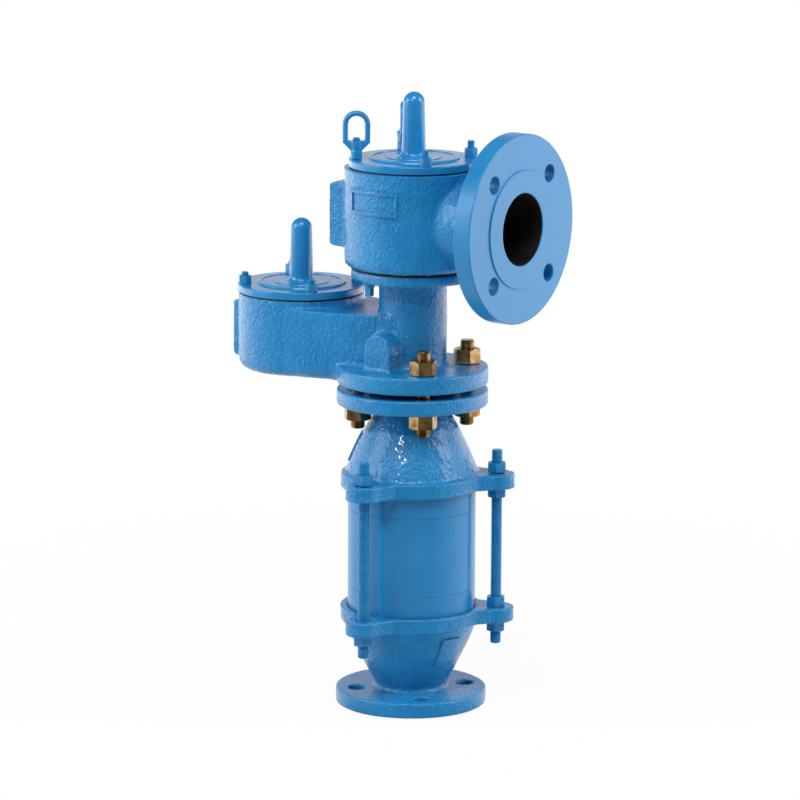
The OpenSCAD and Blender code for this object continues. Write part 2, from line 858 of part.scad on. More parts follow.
// Outlet nozzle, level with the housing's top and bottom where it is as tall as the housing
module nozzle_form() {
  nozzle_root = housing_bore_r - nozzle_overlap;
  nozzle_end = outlet_reach - outlet_flange_t;
  intersection() {
    along_outlet() translate([0, 0, nozzle_root]) cylinder(r = nozzle_r, h = nozzle_end - nozzle_root);
    translate([0, -housing_r, housing_z]) cube([nozzle_end + cut, 2 * housing_r, housing_h]);
  }
}

module pressure_housing() {
  rim_low = housing_top - rim_h;
  color(paint) difference() {
    union() {
      translate([0, 0, housing_z]) round_bottomed(housing_r, housing_h, housing_round);
      nozzle_form();
      along_outlet() outlet_flange_form();
      translate([0, 0, outlet_z]) side_pad(housing_r + pressure_pad_t, pressure_pad_half, pressure_pad_h);
    }
    rotate_extrude() polygon([
      [0, housing_z - cut], [seat_opening_r, housing_z - cut], [seat_opening_r, pressure_seat_floor],
      [housing_bore_r, pressure_seat_floor], [housing_bore_r, rim_low - housing_rim_taper],
      [rim_bore_r, rim_low],
      [rim_bore_r, housing_top + cut], [0, housing_top + cut]
    ]);
    along_outlet() cylinder(r = outlet_bore_r, h = outlet_reach + cut);
    along_outlet() around(outlet_pcd / 2, bolt_angles)
      translate([0, 0, outlet_reach - outlet_flange_t - cut])
        cylinder(r = hole_r, h = outlet_flange_t + 2 * cut);
    translate([0, 0, housing_top - lid_stud_tap]) around(lid_stud_circle_r, bolt_angles)
      cylinder(r = lid_stud_r + thread_gap, h = lid_stud_tap + cut);
    translate([0, 0, housing_z - cut]) around(housing_screw_circle, housing_screw_angles)
      cylinder(r = housing_screw_r + slip_gap, h = housing_floor + 2 * cut);
    translate([0, 0, housing_z - cut]) around(plug_circle, [plug_angle])
      cylinder(r = plug_r + thread_gap, h = housing_floor + 2 * cut);
  }
}

// Outlet flange with its fillet, drawn along +Z
module outlet_flange_form() {
  back = outlet_reach - outlet_flange_t;
  front = outlet_reach - face_h;
  rotate_extrude() polygon(concat(
    [[0, back - flange_fillet]],
    arc([nozzle_r + flange_fillet, back - flange_fillet], flange_fillet, 180, 90),
    arc([outlet_flange_r - edge_round, back + edge_round], edge_round, -90, 0, edge_steps),
    arc([outlet_flange_r - edge_round, front - edge_round], edge_round, 0, 90, edge_steps),
    [[outlet_face_d / 2, front], [outlet_face_d / 2, outlet_reach], [0, outlet_reach]]
  ));
}

module housing_screws() {
  shank = housing_floor + housing_gasket_t + housing_screw_depth - cut;
  color(steel) translate([0, 0, pressure_seat_floor]) around(housing_screw_circle, housing_screw_angles)
    difference() {
      union() {
        cylinder(r = housing_screw_head_r, h = housing_screw_head_h);
        translate([0, 0, -shank]) cylinder(r = housing_screw_r, h = shank + cut);
      }
      translate([0, 0, housing_screw_head_h / 2])
        cylinder(r = housing_socket_af / sqrt(3), h = housing_screw_head_h, $fn = 6);
    }
}

// Square-headed plug that drains the housing's floor
module drain_plug() {
  thread_h = disc_t + housing_gasket_t + housing_floor - cut;
  color(paint) around(plug_circle, [plug_angle]) translate([0, 0, disc_z]) {
    cylinder(r = plug_r, h = thread_h);
    translate([0, 0, -plug_collar_h]) cylinder(r = plug_collar_r, h = plug_collar_h);
    translate([-plug_square / 2, -plug_square / 2, -plug_collar_h - plug_head_h])
      cube([plug_square, plug_square, plug_head_h]);
  }
}

// Pallet plate with a raised hub, standing on z = 0
module pallet() {
  rotate_extrude() polygon([
    [stem_r + guide_gap, 0], [pallet_r - skirt, 0], [pallet_r, skirt], [pallet_r, pallet_t],
    [hub_r, pallet_t], [hub_r, pallet_t + hub_h], [stem_r + guide_gap, pallet_t + hub_h]
  ]);
}

// Film that closes on the seat's lip
module pallet_seal() {
  ring(seal_r, seal_hole_r, seal_t);
}

// Plate that clamps the film from below
module seal_retainer() {
  rotate_extrude() polygon([
    [stem_r + guide_gap, -retainer_t], [retainer_r - retainer_chamfer, -retainer_t],
    [retainer_r, retainer_chamfer - retainer_t],
    [retainer_r, 0], [seal_hole_r - slip_gap, 0], [seal_hole_r - slip_gap, seal_t],
    [stem_r + guide_gap, seal_t]
  ]);
}

// Guide stem with a head that carries the retainer
module stem(length) {
  translate([0, 0, -retainer_t - stem_head_h]) cylinder(r = stem_head_r, h = stem_head_h);
  translate([0, 0, -retainer_t - cut]) stud_bar(stem_r, length + retainer_t + cut);
}

module weight_plates(count) {
  for (i = [0:count - 1])
    translate([0, 0, i * weight_t]) ring(weight_r, hub_r + slip_gap, weight_t - thread_gap);
}

// Height of the stem nut above the pallet's underside
function stem_nut_rise(count) = pallet_t + max(hub_h, count * weight_t);

module stem_nut() {
  hex_nut(stem_nut_af, stem_nut_h, stem_r + thread_gap);
}

// Length of stem above the pallet's underside that leaves the lift free in the post
function stem_length(lid_z, base, lift) = lid_z + stem_bore_top - lift - stem_stop - base;

module pressure_pallet() {
  color(steel) translate([0, 0, pressure_base]) pallet();
}

module pressure_pallet_seal() {
  color(film) translate([0, 0, pressure_seat_top + seat_gap]) pallet_seal();
}

module pressure_seal_retainer() {
  color(steel) translate([0, 0, pressure_seat_top + seat_gap]) seal_retainer();
}

module pressure_stem() {
  color(steel) translate([0, 0, pressure_seat_top + seat_gap])
    stem(stem_length(pressure_lid_z, pressure_base, pressure_lift) + seal_t);
}

module pressure_weight_plates() {
  color(steel) translate([0, 0, pressure_base + pallet_t]) weight_plates(pressure_weights);
}

module pressure_stem_nut() {
  color(steel) translate([0, 0, pressure_base + stem_nut_rise(pressure_weights)]) stem_nut();
}

module vacuum_pallet() {
  color(steel) at_vacuum(vacuum_base) pallet();
}

module vacuum_pallet_seal() {
  color(film) at_vacuum(vacuum_seat_top + seat_gap) pallet_seal();
}

module vacuum_seal_retainer() {
  color(steel) at_vacuum(vacuum_seat_top + seat_gap) seal_retainer();
}

module vacuum_stem() {
  color(steel) at_vacuum(vacuum_seat_top + seat_gap)
    stem(stem_length(vacuum_lid_z, vacuum_base, vacuum_lift) + seal_t);
}

module vacuum_weight_plate() {
  color(steel) at_vacuum(vacuum_base + pallet_t) weight_plates(1);
}

module vacuum_stem_nut() {
  color(steel) at_vacuum(vacuum_base + stem_nut_rise(1)) stem_nut();
}

// Lid with a hollow guide post, its underside on z = 0
module lid() {
  post_top = lid_t + post_h - post_end_r;
  foot = lid_t + lid_step_h + post_fillet;
  difference() {
    rotate_extrude() polygon(concat(
      [[bush_r + guide_gap, -hub_drop], [lid_hub_r, -hub_drop], [lid_hub_r, -spigot_h],
        [rim_bore_r - slip_gap, -spigot_h], [rim_bore_r - slip_gap, 0], [lid_r, 0]],
      arc([lid_r - edge_round, lid_t - edge_round], edge_round, 0, 90, edge_steps),
      [[lid_step_r, lid_t], [lid_step_r - lid_step_h / 2, lid_t + lid_step_h]],
      arc([post_foot_r + post_fillet, foot], post_fillet, 270, 180),
      arc([0, post_top], post_end_r, 0, 90, dome_steps),
      [[0, post_top], [stem_bore_r, post_top], [stem_bore_r, bush_h - hub_drop],
        [bush_r + guide_gap, bush_h - hub_drop]]
    ));
    around(lid_stud_circle_r, bolt_angles)
      translate([0, 0, -cut]) cylinder(r = lid_stud_r + lid_hole_slack, h = lid_t + 2 * cut);
  }
}

module lid_gasket() {
  difference() {
    ring(lid_r - edge_round, rim_bore_r, lid_gasket_t);
    around(lid_stud_circle_r, bolt_angles)
      translate([0, 0, -cut]) cylinder(r = lid_stud_r + lid_hole_slack, h = lid_gasket_t + 2 * cut);
  }
}

// Bush that guides a stem in its lid
module guide_bush() {
  translate([0, 0, -hub_drop]) ring(bush_r, stem_r + guide_gap, bush_h);
}

// Stud that stands in a rim, with its top a given height above the lid
module lid_stud(above) {
  low = -lid_gasket_t - lid_stud_tap + cut;
  translate([0, 0, low]) stud_bar(lid_stud_r, lid_t + above - low);
}

module lid_washer() {
  translate([0, 0, lid_t]) ring(washer_r, lid_stud_r + washer_slack, washer_t);
}

module lid_nut() {
  translate([0, 0, lid_t + washer_t]) hex_nut(lid_nut_af, lid_nut_h, lid_stud_r + thread_gap);
}

// Nut with a lifting loop on a tapering shoulder, standing on the lid
module eye_nut() {
  loop_high = eye_low + eye_side;
  loop_half = eye_ring_r + eye_bar_r;
  difference() {
    translate([0, 0, lid_t]) {
      cylinder(r = eye_collar_r, h = eye_base_h);
      translate([0, 0, eye_base_h]) cylinder(r1 = eye_neck_low_r, r2 = eye_neck_high_r, h = eye_shoulder_h);
      rotate([90, 0, 0]) translate([0, 0, -eye_bar_r]) linear_extrude(eye_bar_d) polygon([
        [-eye_neck_low_r, eye_base_h], [eye_neck_low_r, eye_base_h],
        [loop_half, eye_low - eye_corner], [loop_half, eye_low],
        [-loop_half, eye_low], [-loop_half, eye_low - eye_corner]
      ]);
      for (side = [-1, 1])
        translate([side * eye_ring_r, 0, eye_low]) cylinder(r = eye_bar_r, h = eye_side);
      translate([0, 0, loop_high]) rotate([90, 0, 0])
        rotate_extrude(angle = 180) translate([eye_ring_r, 0]) circle(r = eye_bar_r);
    }
    cylinder(r = lid_stud_r + thread_gap, h = lid_t + eye_low + cut);
  }
}

module pressure_lid_gasket() {
  color(dark) translate([0, 0, housing_top]) lid_gasket();
}

module pressure_lid() {
  color(paint) translate([0, 0, pressure_lid_z]) lid();
}

module pressure_guide_bush() {
  color(film) translate([0, 0, pressure_lid_z]) guide_bush();
}

module pressure_lid_studs() {
  color(paint) translate([0, 0, pressure_lid_z]) {
    around(lid_stud_circle_r, plain_angles) lid_stud(washer_t + lid_nut_h + tall_tip);
    around(lid_stud_circle_r, eye_angles) lid_stud(eye_tip);
  }
}

module pressure_lid_washers() {
  color(paint) translate([0, 0, pressure_lid_z]) around(lid_stud_circle_r, plain_angles) lid_washer();
}

module pressure_lid_nuts() {
  color(paint) translate([0, 0, pressure_lid_z]) nuts_around(lid_stud_circle_r, plain_angles) lid_nut();
}

// One loop faces the front-right, and the other stands square to it
module eye_nuts() {
  color(paint) translate([0, 0, pressure_lid_z]) {
    around(lid_stud_circle_r, [eye_angles[1]]) rotate(eye_facing) eye_nut();
    around(lid_stud_circle_r, [eye_angles[0]]) rotate(eye_facing + 90) eye_nut();
  }
}

module vacuum_lid_gasket() {
  color(dark) at_vacuum(chamber_top) lid_gasket();
}

module vacuum_lid() {
  color(paint) at_vacuum(vacuum_lid_z) lid();
}

module vacuum_guide_bush() {
  color(film) at_vacuum(vacuum_lid_z) guide_bush();
}

module vacuum_lid_studs() {
  color(paint) at_vacuum(vacuum_lid_z)
    around(lid_stud_circle_r, bolt_angles) lid_stud(washer_t + lid_nut_h + plain_tip);
}

module vacuum_lid_washers() {
  color(paint) at_vacuum(vacuum_lid_z) around(lid_stud_circle_r, bolt_angles) lid_washer();
}

module vacuum_lid_nuts() {
  color(paint) at_vacuum(vacuum_lid_z) nuts_around(lid_stud_circle_r, bolt_angles) lid_nut();
}

// Perforated plate in the mouth of the vacuum port
module inlet_screen() {
  field_r = retainer_ring_bore - screen_hole_r - screen_margin;
  row_pitch = screen_pitch * sin(60);
  rows = floor(field_r / row_pitch);
  color(steel) at_vacuum(chamber_z + retainer_ring_t) linear_extrude(screen_t) difference() {
    circle(r = screen_r);
    for (row = [-rows:rows], i = [-rows - 1:rows + 1]) {
      x = (i + (row % 2 == 0 ? 0 : 0.5)) * screen_pitch;
      y = row * row_pitch;
      if (norm([x, y]) < field_r) translate([x, y]) circle(r = screen_hole_r);
    }
    for (a = bolt_angles) rotate(a) translate([screen_screw_circle, 0]) circle(r = screen_screw_r + slip_gap);
  }
}

module screen_retainer() {
  color(paint) at_vacuum(chamber_z) difference() {
    ring(screen_r, retainer_ring_bore, retainer_ring_t);
    around(screen_screw_circle, bolt_angles) {
      translate([0, 0, -cut]) cylinder(r = screen_screw_r + slip_gap, h = retainer_ring_t + 2 * cut);
      translate([0, 0, -cut]) cylinder(r = screen_screw_head_r + slip_gap, h = screen_screw_head_h + cut);
    }
  }
}

module screen_screws() {
  shank = screen_recess + screen_screw_depth - cut;
  color(steel) at_vacuum(chamber_z) around(screen_screw_circle, bolt_angles) {
    cylinder(r = screen_screw_r, h = shank);
    cylinder(r = screen_screw_head_r, h = screen_screw_head_h);
  }
}

lower_casing();
upper_casing();
lower_spacer_ring();
upper_spacer_ring();
element_housing();
stack_gaskets();
lower_support_grid();
upper_support_grid();
element_core();
crimped_ribbons();
flat_ribbons();
tie_rods();
tie_rod_nuts();
jack_nuts();
joint_gasket();
flange_studs();
flange_nuts();
valve_body();
pressure_seat();
housing_gasket();
pressure_housing();
housing_screws();
drain_plug();
pressure_pallet();
pressure_pallet_seal();
pressure_seal_retainer();
pressure_stem();
pressure_weight_plates();
pressure_stem_nut();
pressure_lid_gasket();
pressure_lid();
pressure_guide_bush();
pressure_lid_studs();
pressure_lid_washers();
pressure_lid_nuts();
eye_nuts();
vacuum_seat();
inlet_screen();
screen_retainer();
screen_screws();
vacuum_pallet();
vacuum_pallet_seal();
vacuum_seal_retainer();
vacuum_stem();
vacuum_weight_plate();
vacuum_stem_nut();
vacuum_lid_gasket();
vacuum_lid();
vacuum_guide_bush();
vacuum_lid_studs();
vacuum_lid_washers();
vacuum_lid_nuts();
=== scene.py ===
# %% [markdown]
# # A tank breather valve on its flame arrester
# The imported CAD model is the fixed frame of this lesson. It gives the place and size of every piece, in
# metres. The cells below dress it: castings get a soft, pebbly painted skin, studs and rods get real
# threads, and every surface gets a material made of nodes. Nothing is moved, so all joints keep working.

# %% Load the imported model
import json
import math

import bpy
import numpy as np
from mathutils import Matrix, Vector


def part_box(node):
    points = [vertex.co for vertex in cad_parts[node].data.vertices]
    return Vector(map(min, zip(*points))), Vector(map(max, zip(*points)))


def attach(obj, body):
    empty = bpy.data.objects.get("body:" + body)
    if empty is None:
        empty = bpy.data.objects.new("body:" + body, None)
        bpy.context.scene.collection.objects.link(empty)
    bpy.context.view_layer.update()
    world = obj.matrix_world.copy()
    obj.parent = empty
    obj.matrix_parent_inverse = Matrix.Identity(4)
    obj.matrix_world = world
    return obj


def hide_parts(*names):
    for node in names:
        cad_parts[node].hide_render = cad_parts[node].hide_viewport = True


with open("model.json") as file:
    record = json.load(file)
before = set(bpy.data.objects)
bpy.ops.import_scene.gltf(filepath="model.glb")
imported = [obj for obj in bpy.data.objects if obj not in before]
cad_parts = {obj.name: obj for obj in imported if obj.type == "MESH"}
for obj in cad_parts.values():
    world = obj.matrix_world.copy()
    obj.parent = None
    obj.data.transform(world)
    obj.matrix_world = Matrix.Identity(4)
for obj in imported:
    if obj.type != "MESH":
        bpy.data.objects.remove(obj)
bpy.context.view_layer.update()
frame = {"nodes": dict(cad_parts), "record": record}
nodes = frame["nodes"]
MM = 0.001

# %% [markdown]
# ## Sizes from the CAD model
# Lengths in this lesson are in millimetres. Where a neighbour or a seam gives a length, it is read off the
# CAD model and not typed in. Two helpers give the corners of a node's box, rounded to a thousandth of a
# millimetre, and the bolt circle of the outlet comes from the mounts in the record.

# %% Helpers to measure the CAD model
def in_mm(metres):
    return round(metres / MM, 3)


def low_corner(node):
    return Vector([in_mm(value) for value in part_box(node)[0]])


def high_corner(node):
    return Vector([in_mm(value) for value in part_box(node)[1]])


mounts = {row["name"]: row for row in frame["record"]["mounts"]}
print(len(nodes), "nodes and", len(mounts), "mounts")

# %% [markdown]
# ## Camera
# The photograph was taken from a good distance with a long lens, a little above the valve and to its right.
# The two flange bolt circles gave the direction, so the lens is placed by numbers and not by eye.
# The small shift puts the valve's axis where it is in the picture, right of the middle.

# %% Camera at the photograph's viewpoint
AZIMUTH = math.radians(33.933)
ELEVATION = math.radians(11.508)
ROLL = math.radians(0.334)
TARGET = Vector((0, 0, 0.340))
DISTANCE = 5.0
FOCAL_PX = 4598.46
TARGET_PX = (412.409, 398.367)
IMAGE_PX = 800
SENSOR_MM = 36
FAR_CLIP = 200

away = Vector((
    math.sin(AZIMUTH) * math.cos(ELEVATION),
    -math.cos(AZIMUTH) * math.cos(ELEVATION),
    math.sin(ELEVATION),
))
right = Vector((math.cos(AZIMUTH), math.sin(AZIMUTH), 0))
up = away.cross(right)
view_x = right * math.cos(ROLL) + up * math.sin(ROLL)
view_y = up * math.cos(ROLL) - right * math.sin(ROLL)

lens = bpy.data.cameras.new("photo_lens")
lens.sensor_width = SENSOR_MM
lens.lens = SENSOR_MM * FOCAL_PX / IMAGE_PX
lens.shift_x = (IMAGE_PX / 2 - TARGET_PX[0]) / IMAGE_PX
lens.shift_y = (TARGET_PX[1] - IMAGE_PX / 2) / IMAGE_PX
lens.clip_end = FAR_CLIP
camera = bpy.data.objects.new("photo_camera", lens)
bpy.context.scene.collection.objects.link(camera)
turn = Matrix((view_x, view_y, away)).transposed().to_4x4()
camera.matrix_world = Matrix.Translation(TARGET + away * DISTANCE) @ turn
bpy.context.scene.camera = camera
print("lens", round(lens.lens, 2), "mm")

# %% [markdown]
# ## Tools for the bench
# An operator works on whatever is selected, so each helper first deselects everything and then takes one
# piece. `finish_with` adds a modifier and applies it, and `close_up` merges doubled points and turns the
# faces outwards. `crisp` shades a machined piece: its flat faces stay flat right up to their roundings,
# because each point takes its normal from the largest face around it.

# %% Helpers to select and finish a piece
MERGE_GAP = 1e-6


def deselect():
    bpy.ops.object.select_all(action="DESELECT")


def take(piece):
    deselect()
    piece.select_set(True)
    bpy.context.view_layer.objects.active = piece


def finish_with(piece, kind, **values):
    take(piece)
    bpy.ops.object.modifier_add(type=kind)
    modifier = piece.modifiers[-1]
    for name, value in values.items():
        setattr(modifier, name, value)
    bpy.ops.object.modifier_apply(modifier=modifier.name)


def close_up(piece):
    take(piece)
    bpy.ops.object.mode_set(mode="EDIT")
    bpy.ops.mesh.select_all(action="SELECT")
    bpy.ops.mesh.remove_doubles(threshold=MERGE_GAP)
    bpy.ops.mesh.delete_loose(use_verts=True, use_edges=True, use_faces=False)
    bpy.ops.mesh.select_all(action="SELECT")
    bpy.ops.mesh.normals_make_consistent(inside=False)
    bpy.ops.object.mode_set(mode="OBJECT")


def settle(piece):
    take(piece)
    bpy.ops.object.transform_apply(location=True, rotation=True, scale=True)


def smooth(piece, degrees):
    take(piece)
    bpy.ops.object.shade_smooth_by_angle(angle=math.radians(degrees))


def crisp(piece, degrees):
    smooth(piece, degrees)
    finish_with(piece, "WEIGHTED_NORMAL", mode="FACE_AREA", weight=100, keep_sharp=True)


# %% Helpers to join and cut pieces
def joined(pieces, name):
    deselect()
    for piece in pieces:
        piece.select_set(True)
    bpy.context.view_layer.objects.active = pieces[0]
    if len(pieces) > 1:
        bpy.ops.object.join()
    pieces[0].name = name
    pieces[0].data.name = name
    return pieces[0]


def cut_with(piece, tool, operation="DIFFERENCE"):
    finish_with(piece, "BOOLEAN", object=tool, operation=operation, solver="EXACT")
    bpy.data.objects.remove(tool)


# %% Helpers to copy CAD nodes and to find their solids
def merged_copy(node, name):
    piece = bpy.data.objects.new(name, nodes[node].data.copy())
    bpy.context.scene.collection.objects.link(piece)
    piece.data.materials.clear()
    take(piece)
    bpy.ops.object.mode_set(mode="EDIT")
    bpy.ops.mesh.select_all(action="SELECT")
    bpy.ops.mesh.remove_doubles(threshold=MERGE_GAP)
    bpy.ops.object.mode_set(mode="OBJECT")
    return piece


def solids(node):
    merged_copy(node, "measured")
    bpy.ops.object.mode_set(mode="EDIT")
    bpy.ops.mesh.select_all(action="SELECT")
    bpy.ops.mesh.separate(type="LOOSE")
    bpy.ops.object.mode_set(mode="OBJECT")
    found = []
    for part in list(bpy.context.selected_objects):
        points = np.array([v.co[:] for v in part.data.vertices])
        low = points.min(axis=0)
        high = points.max(axis=0)
        middle = (low + high) / 2
        flat = points[:, :2] - middle[:2]
        corner = flat[np.argmax((flat ** 2).sum(axis=1))]
        found.append({
            "x": middle[0], "y": middle[1], "low": low[2], "high": high[2],
            "turn": math.atan2(corner[1], corner[0]),
        })
        bpy.data.objects.remove(part)
    return sorted(found, key=lambda spot: (round(spot["low"], 4), spot["x"], spot["y"]))


# %% [markdown]
# ## Turning, drilling, threading and copying
# Most of the small pieces come off a lathe. `turned` starts from a ring of points, moves them to the
# corners of a half section and spins that about the upright axis. `drilled` cuts four turned drills out of
# a piece. A thread is a half section one pitch high that a Screw modifier winds upwards; its ends are then
# trimmed by a plain bar with chamfered ends. A nut is a hexagon with bevelled edges, trimmed by a turned
# barrel that gives the round chamfers and the bore at once.

# %% Helpers for turned and drilled pieces
BOLT_ANGLES = [math.radians(angle) for angle in (45, 135, 225, 315)]


def half_section(name, corners):
    deselect()
    bpy.ops.mesh.primitive_circle_add(vertices=len(corners), radius=10 * MM)
    piece = bpy.context.object
    piece.name = name
    for vertex, (r, z) in zip(piece.data.vertices, corners):
        vertex.co = (r * MM, 0, z * MM)
    return piece


def turned(name, corners, steps):
    piece = half_section(name, corners)
    bpy.ops.object.mode_set(mode="EDIT")
    bpy.ops.mesh.select_all(action="SELECT")
    bpy.ops.mesh.spin(steps=steps, angle=2 * math.pi, center=(0, 0, 0), axis=(0, 0, 1))
    bpy.ops.object.mode_set(mode="OBJECT")
    close_up(piece)
    return piece


def arc(r, z, radius, start, end, steps=5):
    angles = [math.radians(start + (end - start) * i / steps) for i in range(steps + 1)]
    return [(r + radius * math.cos(a), z + radius * math.sin(a)) for a in angles]


def bar_section(r, low, high, point):
    return [(0, low), (r - point, low), (r, low + point), (r, high - point), (r - point, high), (0, high)]


def drilled(piece, hole, circle_r, steps):
    for angle in BOLT_ANGLES:
        drill = turned("drill", hole, steps)
        place = (circle_r * math.cos(angle) * MM, circle_r * math.sin(angle) * MM, 0)
        drill.data.transform(Matrix.Translation(place))
        cut_with(piece, drill)


# %% Helper for threads
THREAD_STEPS = 20
THREAD_DEPTH = 0.42
THREAD_FORM = ((0, 0), (0, 0.15), (1, 0.45), (1, 0.7), (0, 1))
THREAD_CLEAR = 0.02
RUN_IN = 1.5


def threaded_bar(name, r, pitch, length, point):
    depth = THREAD_DEPTH * pitch
    chain = [(r - depth + depth * outwards, pitch * along) for outwards, along in THREAD_FORM]
    bar = half_section(name, chain)
    for edge in bar.data.edges:
        edge.select = abs(edge.vertices[0] - edge.vertices[1]) > 1
    for vertex in bar.data.vertices:
        vertex.select = vertex.index in (0, len(chain) - 1)
    bpy.ops.object.mode_set(mode="EDIT")
    bpy.ops.mesh.select_mode(type="EDGE")
    bpy.ops.mesh.delete(type="EDGE_FACE")
    bpy.ops.object.mode_set(mode="OBJECT")
    turns = math.ceil(length / pitch) + 2
    finish_with(
        bar, "SCREW", angle=2 * math.pi, screw_offset=pitch * MM, iterations=turns, steps=THREAD_STEPS,
        render_steps=THREAD_STEPS, use_merge_vertices=False)
    take(bar)
    bpy.ops.object.mode_set(mode="EDIT")
    bpy.ops.mesh.select_all(action="SELECT")
    bpy.ops.mesh.remove_doubles(threshold=MERGE_GAP)
    start = RUN_IN * pitch
    for height, outwards in ((start, -1), (start + length, 1)):
        bpy.ops.mesh.select_all(action="SELECT")
        bpy.ops.mesh.bisect(
            plane_co=(0, 0, height * MM), plane_no=(0, 0, outwards), use_fill=True, clear_outer=True)
    bpy.ops.object.mode_set(mode="OBJECT")
    bar.data.transform(Matrix.Translation((0, 0, -start * MM)))
    close_up(bar)
    outline = bar_section(r + THREAD_CLEAR, 0, length, point)
    cut_with(bar, turned("chamfered_bar", outline, steps=48), "INTERSECT")
    return bar


# %% Helper for nuts
NUT_FALL = 0.62
NUT_EDGE = 0.025
NUT_LEAD = 0.06
NUT_FACE = 0.475


def hex_nut(name, across, height, bore):
    corner = across / math.sqrt(3)
    deselect()
    bpy.ops.mesh.primitive_cylinder_add(
        vertices=6, radius=corner * MM, depth=height * MM, location=(0, 0, height / 2 * MM))
    nut = bpy.context.object
    nut.name = name
    settle(nut)
    nut.data.transform(Matrix.Rotation(-math.pi / 2, 4, "Z"))
    for edge in nut.data.edges:
        ends = [nut.data.vertices[i].co for i in edge.vertices]
        edge.select = abs(ends[0].z - ends[1].z) > height / 2 * MM
    bpy.ops.object.mode_set(mode="EDIT")
    bpy.ops.mesh.select_mode(type="EDGE")
    bpy.ops.mesh.bevel(offset=NUT_EDGE * across * MM, segments=2, affect="EDGES")
    bpy.ops.object.mode_set(mode="OBJECT")
    fall = NUT_FALL * (corner - across / 2)
    lead = NUT_LEAD * across
    face = NUT_FACE * across
    barrel = [
        (bore, lead), (bore + lead, 0), (face, 0), (corner, fall),
        (corner, height - fall), (face, height), (bore + lead, height), (bore, height - lead),
    ]
    cut_with(nut, turned("barrel", barrel, steps=72), "INTERSECT")
    return nut


# %% Helper for copies
def placed(model, spots, name):
    copies = []
    for spot in spots:
        copy = bpy.data.objects.new(name, model.data.copy())
        bpy.context.scene.collection.objects.link(copy)
        place = Matrix.Translation((spot["x"], spot["y"], spot["low"]))
        copy.data.transform(place @ Matrix.Rotation(spot["turn"], 4, "Z"))
        copies.append(copy)
    bpy.data.objects.remove(model)
    return joined(copies, name)


# %% [markdown]
# ## Materials
# The whole valve was sprayed sky blue after assembly. On sand castings the paint follows a pebbly skin, on
# turned pieces it lies flat, and it is glossy everywhere. Each finish below mixes two close shades by a slow
# noise, lets the roughness wander a little and takes its relief from bump nodes, all in Object coordinates.

# %% Helpers for shades and roughness
NOISE_EDGES = (0.3, 0.7)
RANGE_SOCKETS = ("From Min", "From Max", "To Min", "To Max")


def ranged(tree, value, before, after):
    node = tree.nodes.new("ShaderNodeMapRange")
    for socket, number in zip(RANGE_SOCKETS, (*before, *after)):
        node.inputs[socket].default_value = number
    tree.links.new(value, node.inputs["Value"])
    return node.outputs["Result"]


def shaded(tree, place, shader, shades, rough, cloud):
    slow = tree.nodes.new("ShaderNodeTexNoise")
    slow.inputs["Scale"].default_value = cloud
    slow.inputs["Detail"].default_value = 4
    tree.links.new(place, slow.inputs["Vector"])
    ramp = tree.nodes.new("ShaderNodeValToRGB")
    for element, edge, shade in zip(ramp.color_ramp.elements, NOISE_EDGES, shades):
        element.position = edge
        element.color = (*shade, 1)
    tree.links.new(slow.outputs["Fac"], ramp.inputs["Fac"])
    tree.links.new(ramp.outputs["Color"], shader.inputs["Base Color"])
    tree.links.new(ranged(tree, slow.outputs["Fac"], NOISE_EDGES, rough), shader.inputs["Roughness"])


# %% Helper for relief
def embossed(tree, place, shader, relief):
    before = None
    for scale, height, stretch in relief:
        laid = tree.nodes.new("ShaderNodeMapping")
        laid.inputs["Scale"].default_value = stretch
        pattern = tree.nodes.new("ShaderNodeTexNoise")
        pattern.inputs["Scale"].default_value = scale
        pattern.inputs["Detail"].default_value = 2
        bump = tree.nodes.new("ShaderNodeBump")
        bump.inputs["Strength"].default_value = 1.0
        bump.inputs["Distance"].default_value = height * MM
        tree.links.new(place, laid.inputs["Vector"])
        tree.links.new(laid.outputs["Vector"], pattern.inputs["Vector"])
        tree.links.new(pattern.outputs["Fac"], bump.inputs["Height"])
        if before is not None:
            tree.links.new(before.outputs["Normal"], bump.inputs["Normal"])
        before = bump
    tree.links.new(before.outputs["Normal"], shader.inputs["Normal"])


# %% Helper for a whole finish
def finish(name, shades, rough, relief, metal=0.0, coat=0.0, coat_rough=0.1, cloud=30.0, level=0.5):
    material = bpy.data.materials.new(name)
    material.use_nodes = True
    tree = material.node_tree
    shader = tree.nodes["Principled BSDF"]
    shader.inputs["Metallic"].default_value = metal
    shader.inputs["Coat Weight"].default_value = coat
    shader.inputs["Coat Roughness"].default_value = coat_rough
    shader.inputs["Specular IOR Level"].default_value = level
    place = tree.nodes.new("ShaderNodeTexCoord").outputs["Object"]
    shaded(tree, place, shader, shades, rough, cloud)
    embossed(tree, place, shader, relief)
    return material


# %% Paint on the valve
EVEN = (1, 1, 1)
DRAWN_OUT = (1, 1, 0.8)
SKY = ((0.010, 0.205, 0.480), (0.018, 0.245, 0.545))
cast_paint = finish(
    "cast_paint", SKY, (0.10, 0.20), [(130, 0.5, EVEN), (330, 1.7, DRAWN_OUT), (900, 0.2, EVEN)],
    coat=0.3, coat_rough=0.04, level=0.32)
lid_paint = finish(
    "lid_paint", SKY, (0.12, 0.22), [(150, 0.35, EVEN), (500, 0.12, EVEN)],
    coat=0.3, coat_rough=0.04, level=0.4)
flat_paint = finish("flat_paint", SKY, (0.30, 0.40), [(420, 0.06, EVEN)], coat=0.1, cloud=18)
shell_paint = finish("shell_paint", SKY, (0.20, 0.28), [(420, 0.04, EVEN)], coat=0.2, cloud=18)
bolt_paint = finish("bolt_paint", SKY, (0.22, 0.36), [(900, 0.08, EVEN)], coat=0.2, cloud=90)
# A near-black finish for the inside of the housing: partly the dark bore, partly painted shade on the pot's
# inner walls.
dark_bore_and_shade = finish(
    "dark_bore_and_shade", ((0.014, 0.010, 0.010), (0.028, 0.020, 0.019)), (0.4, 0.55), [(260, 0.5, EVEN)], level=0.2)
print(len(bpy.data.materials), "materials")

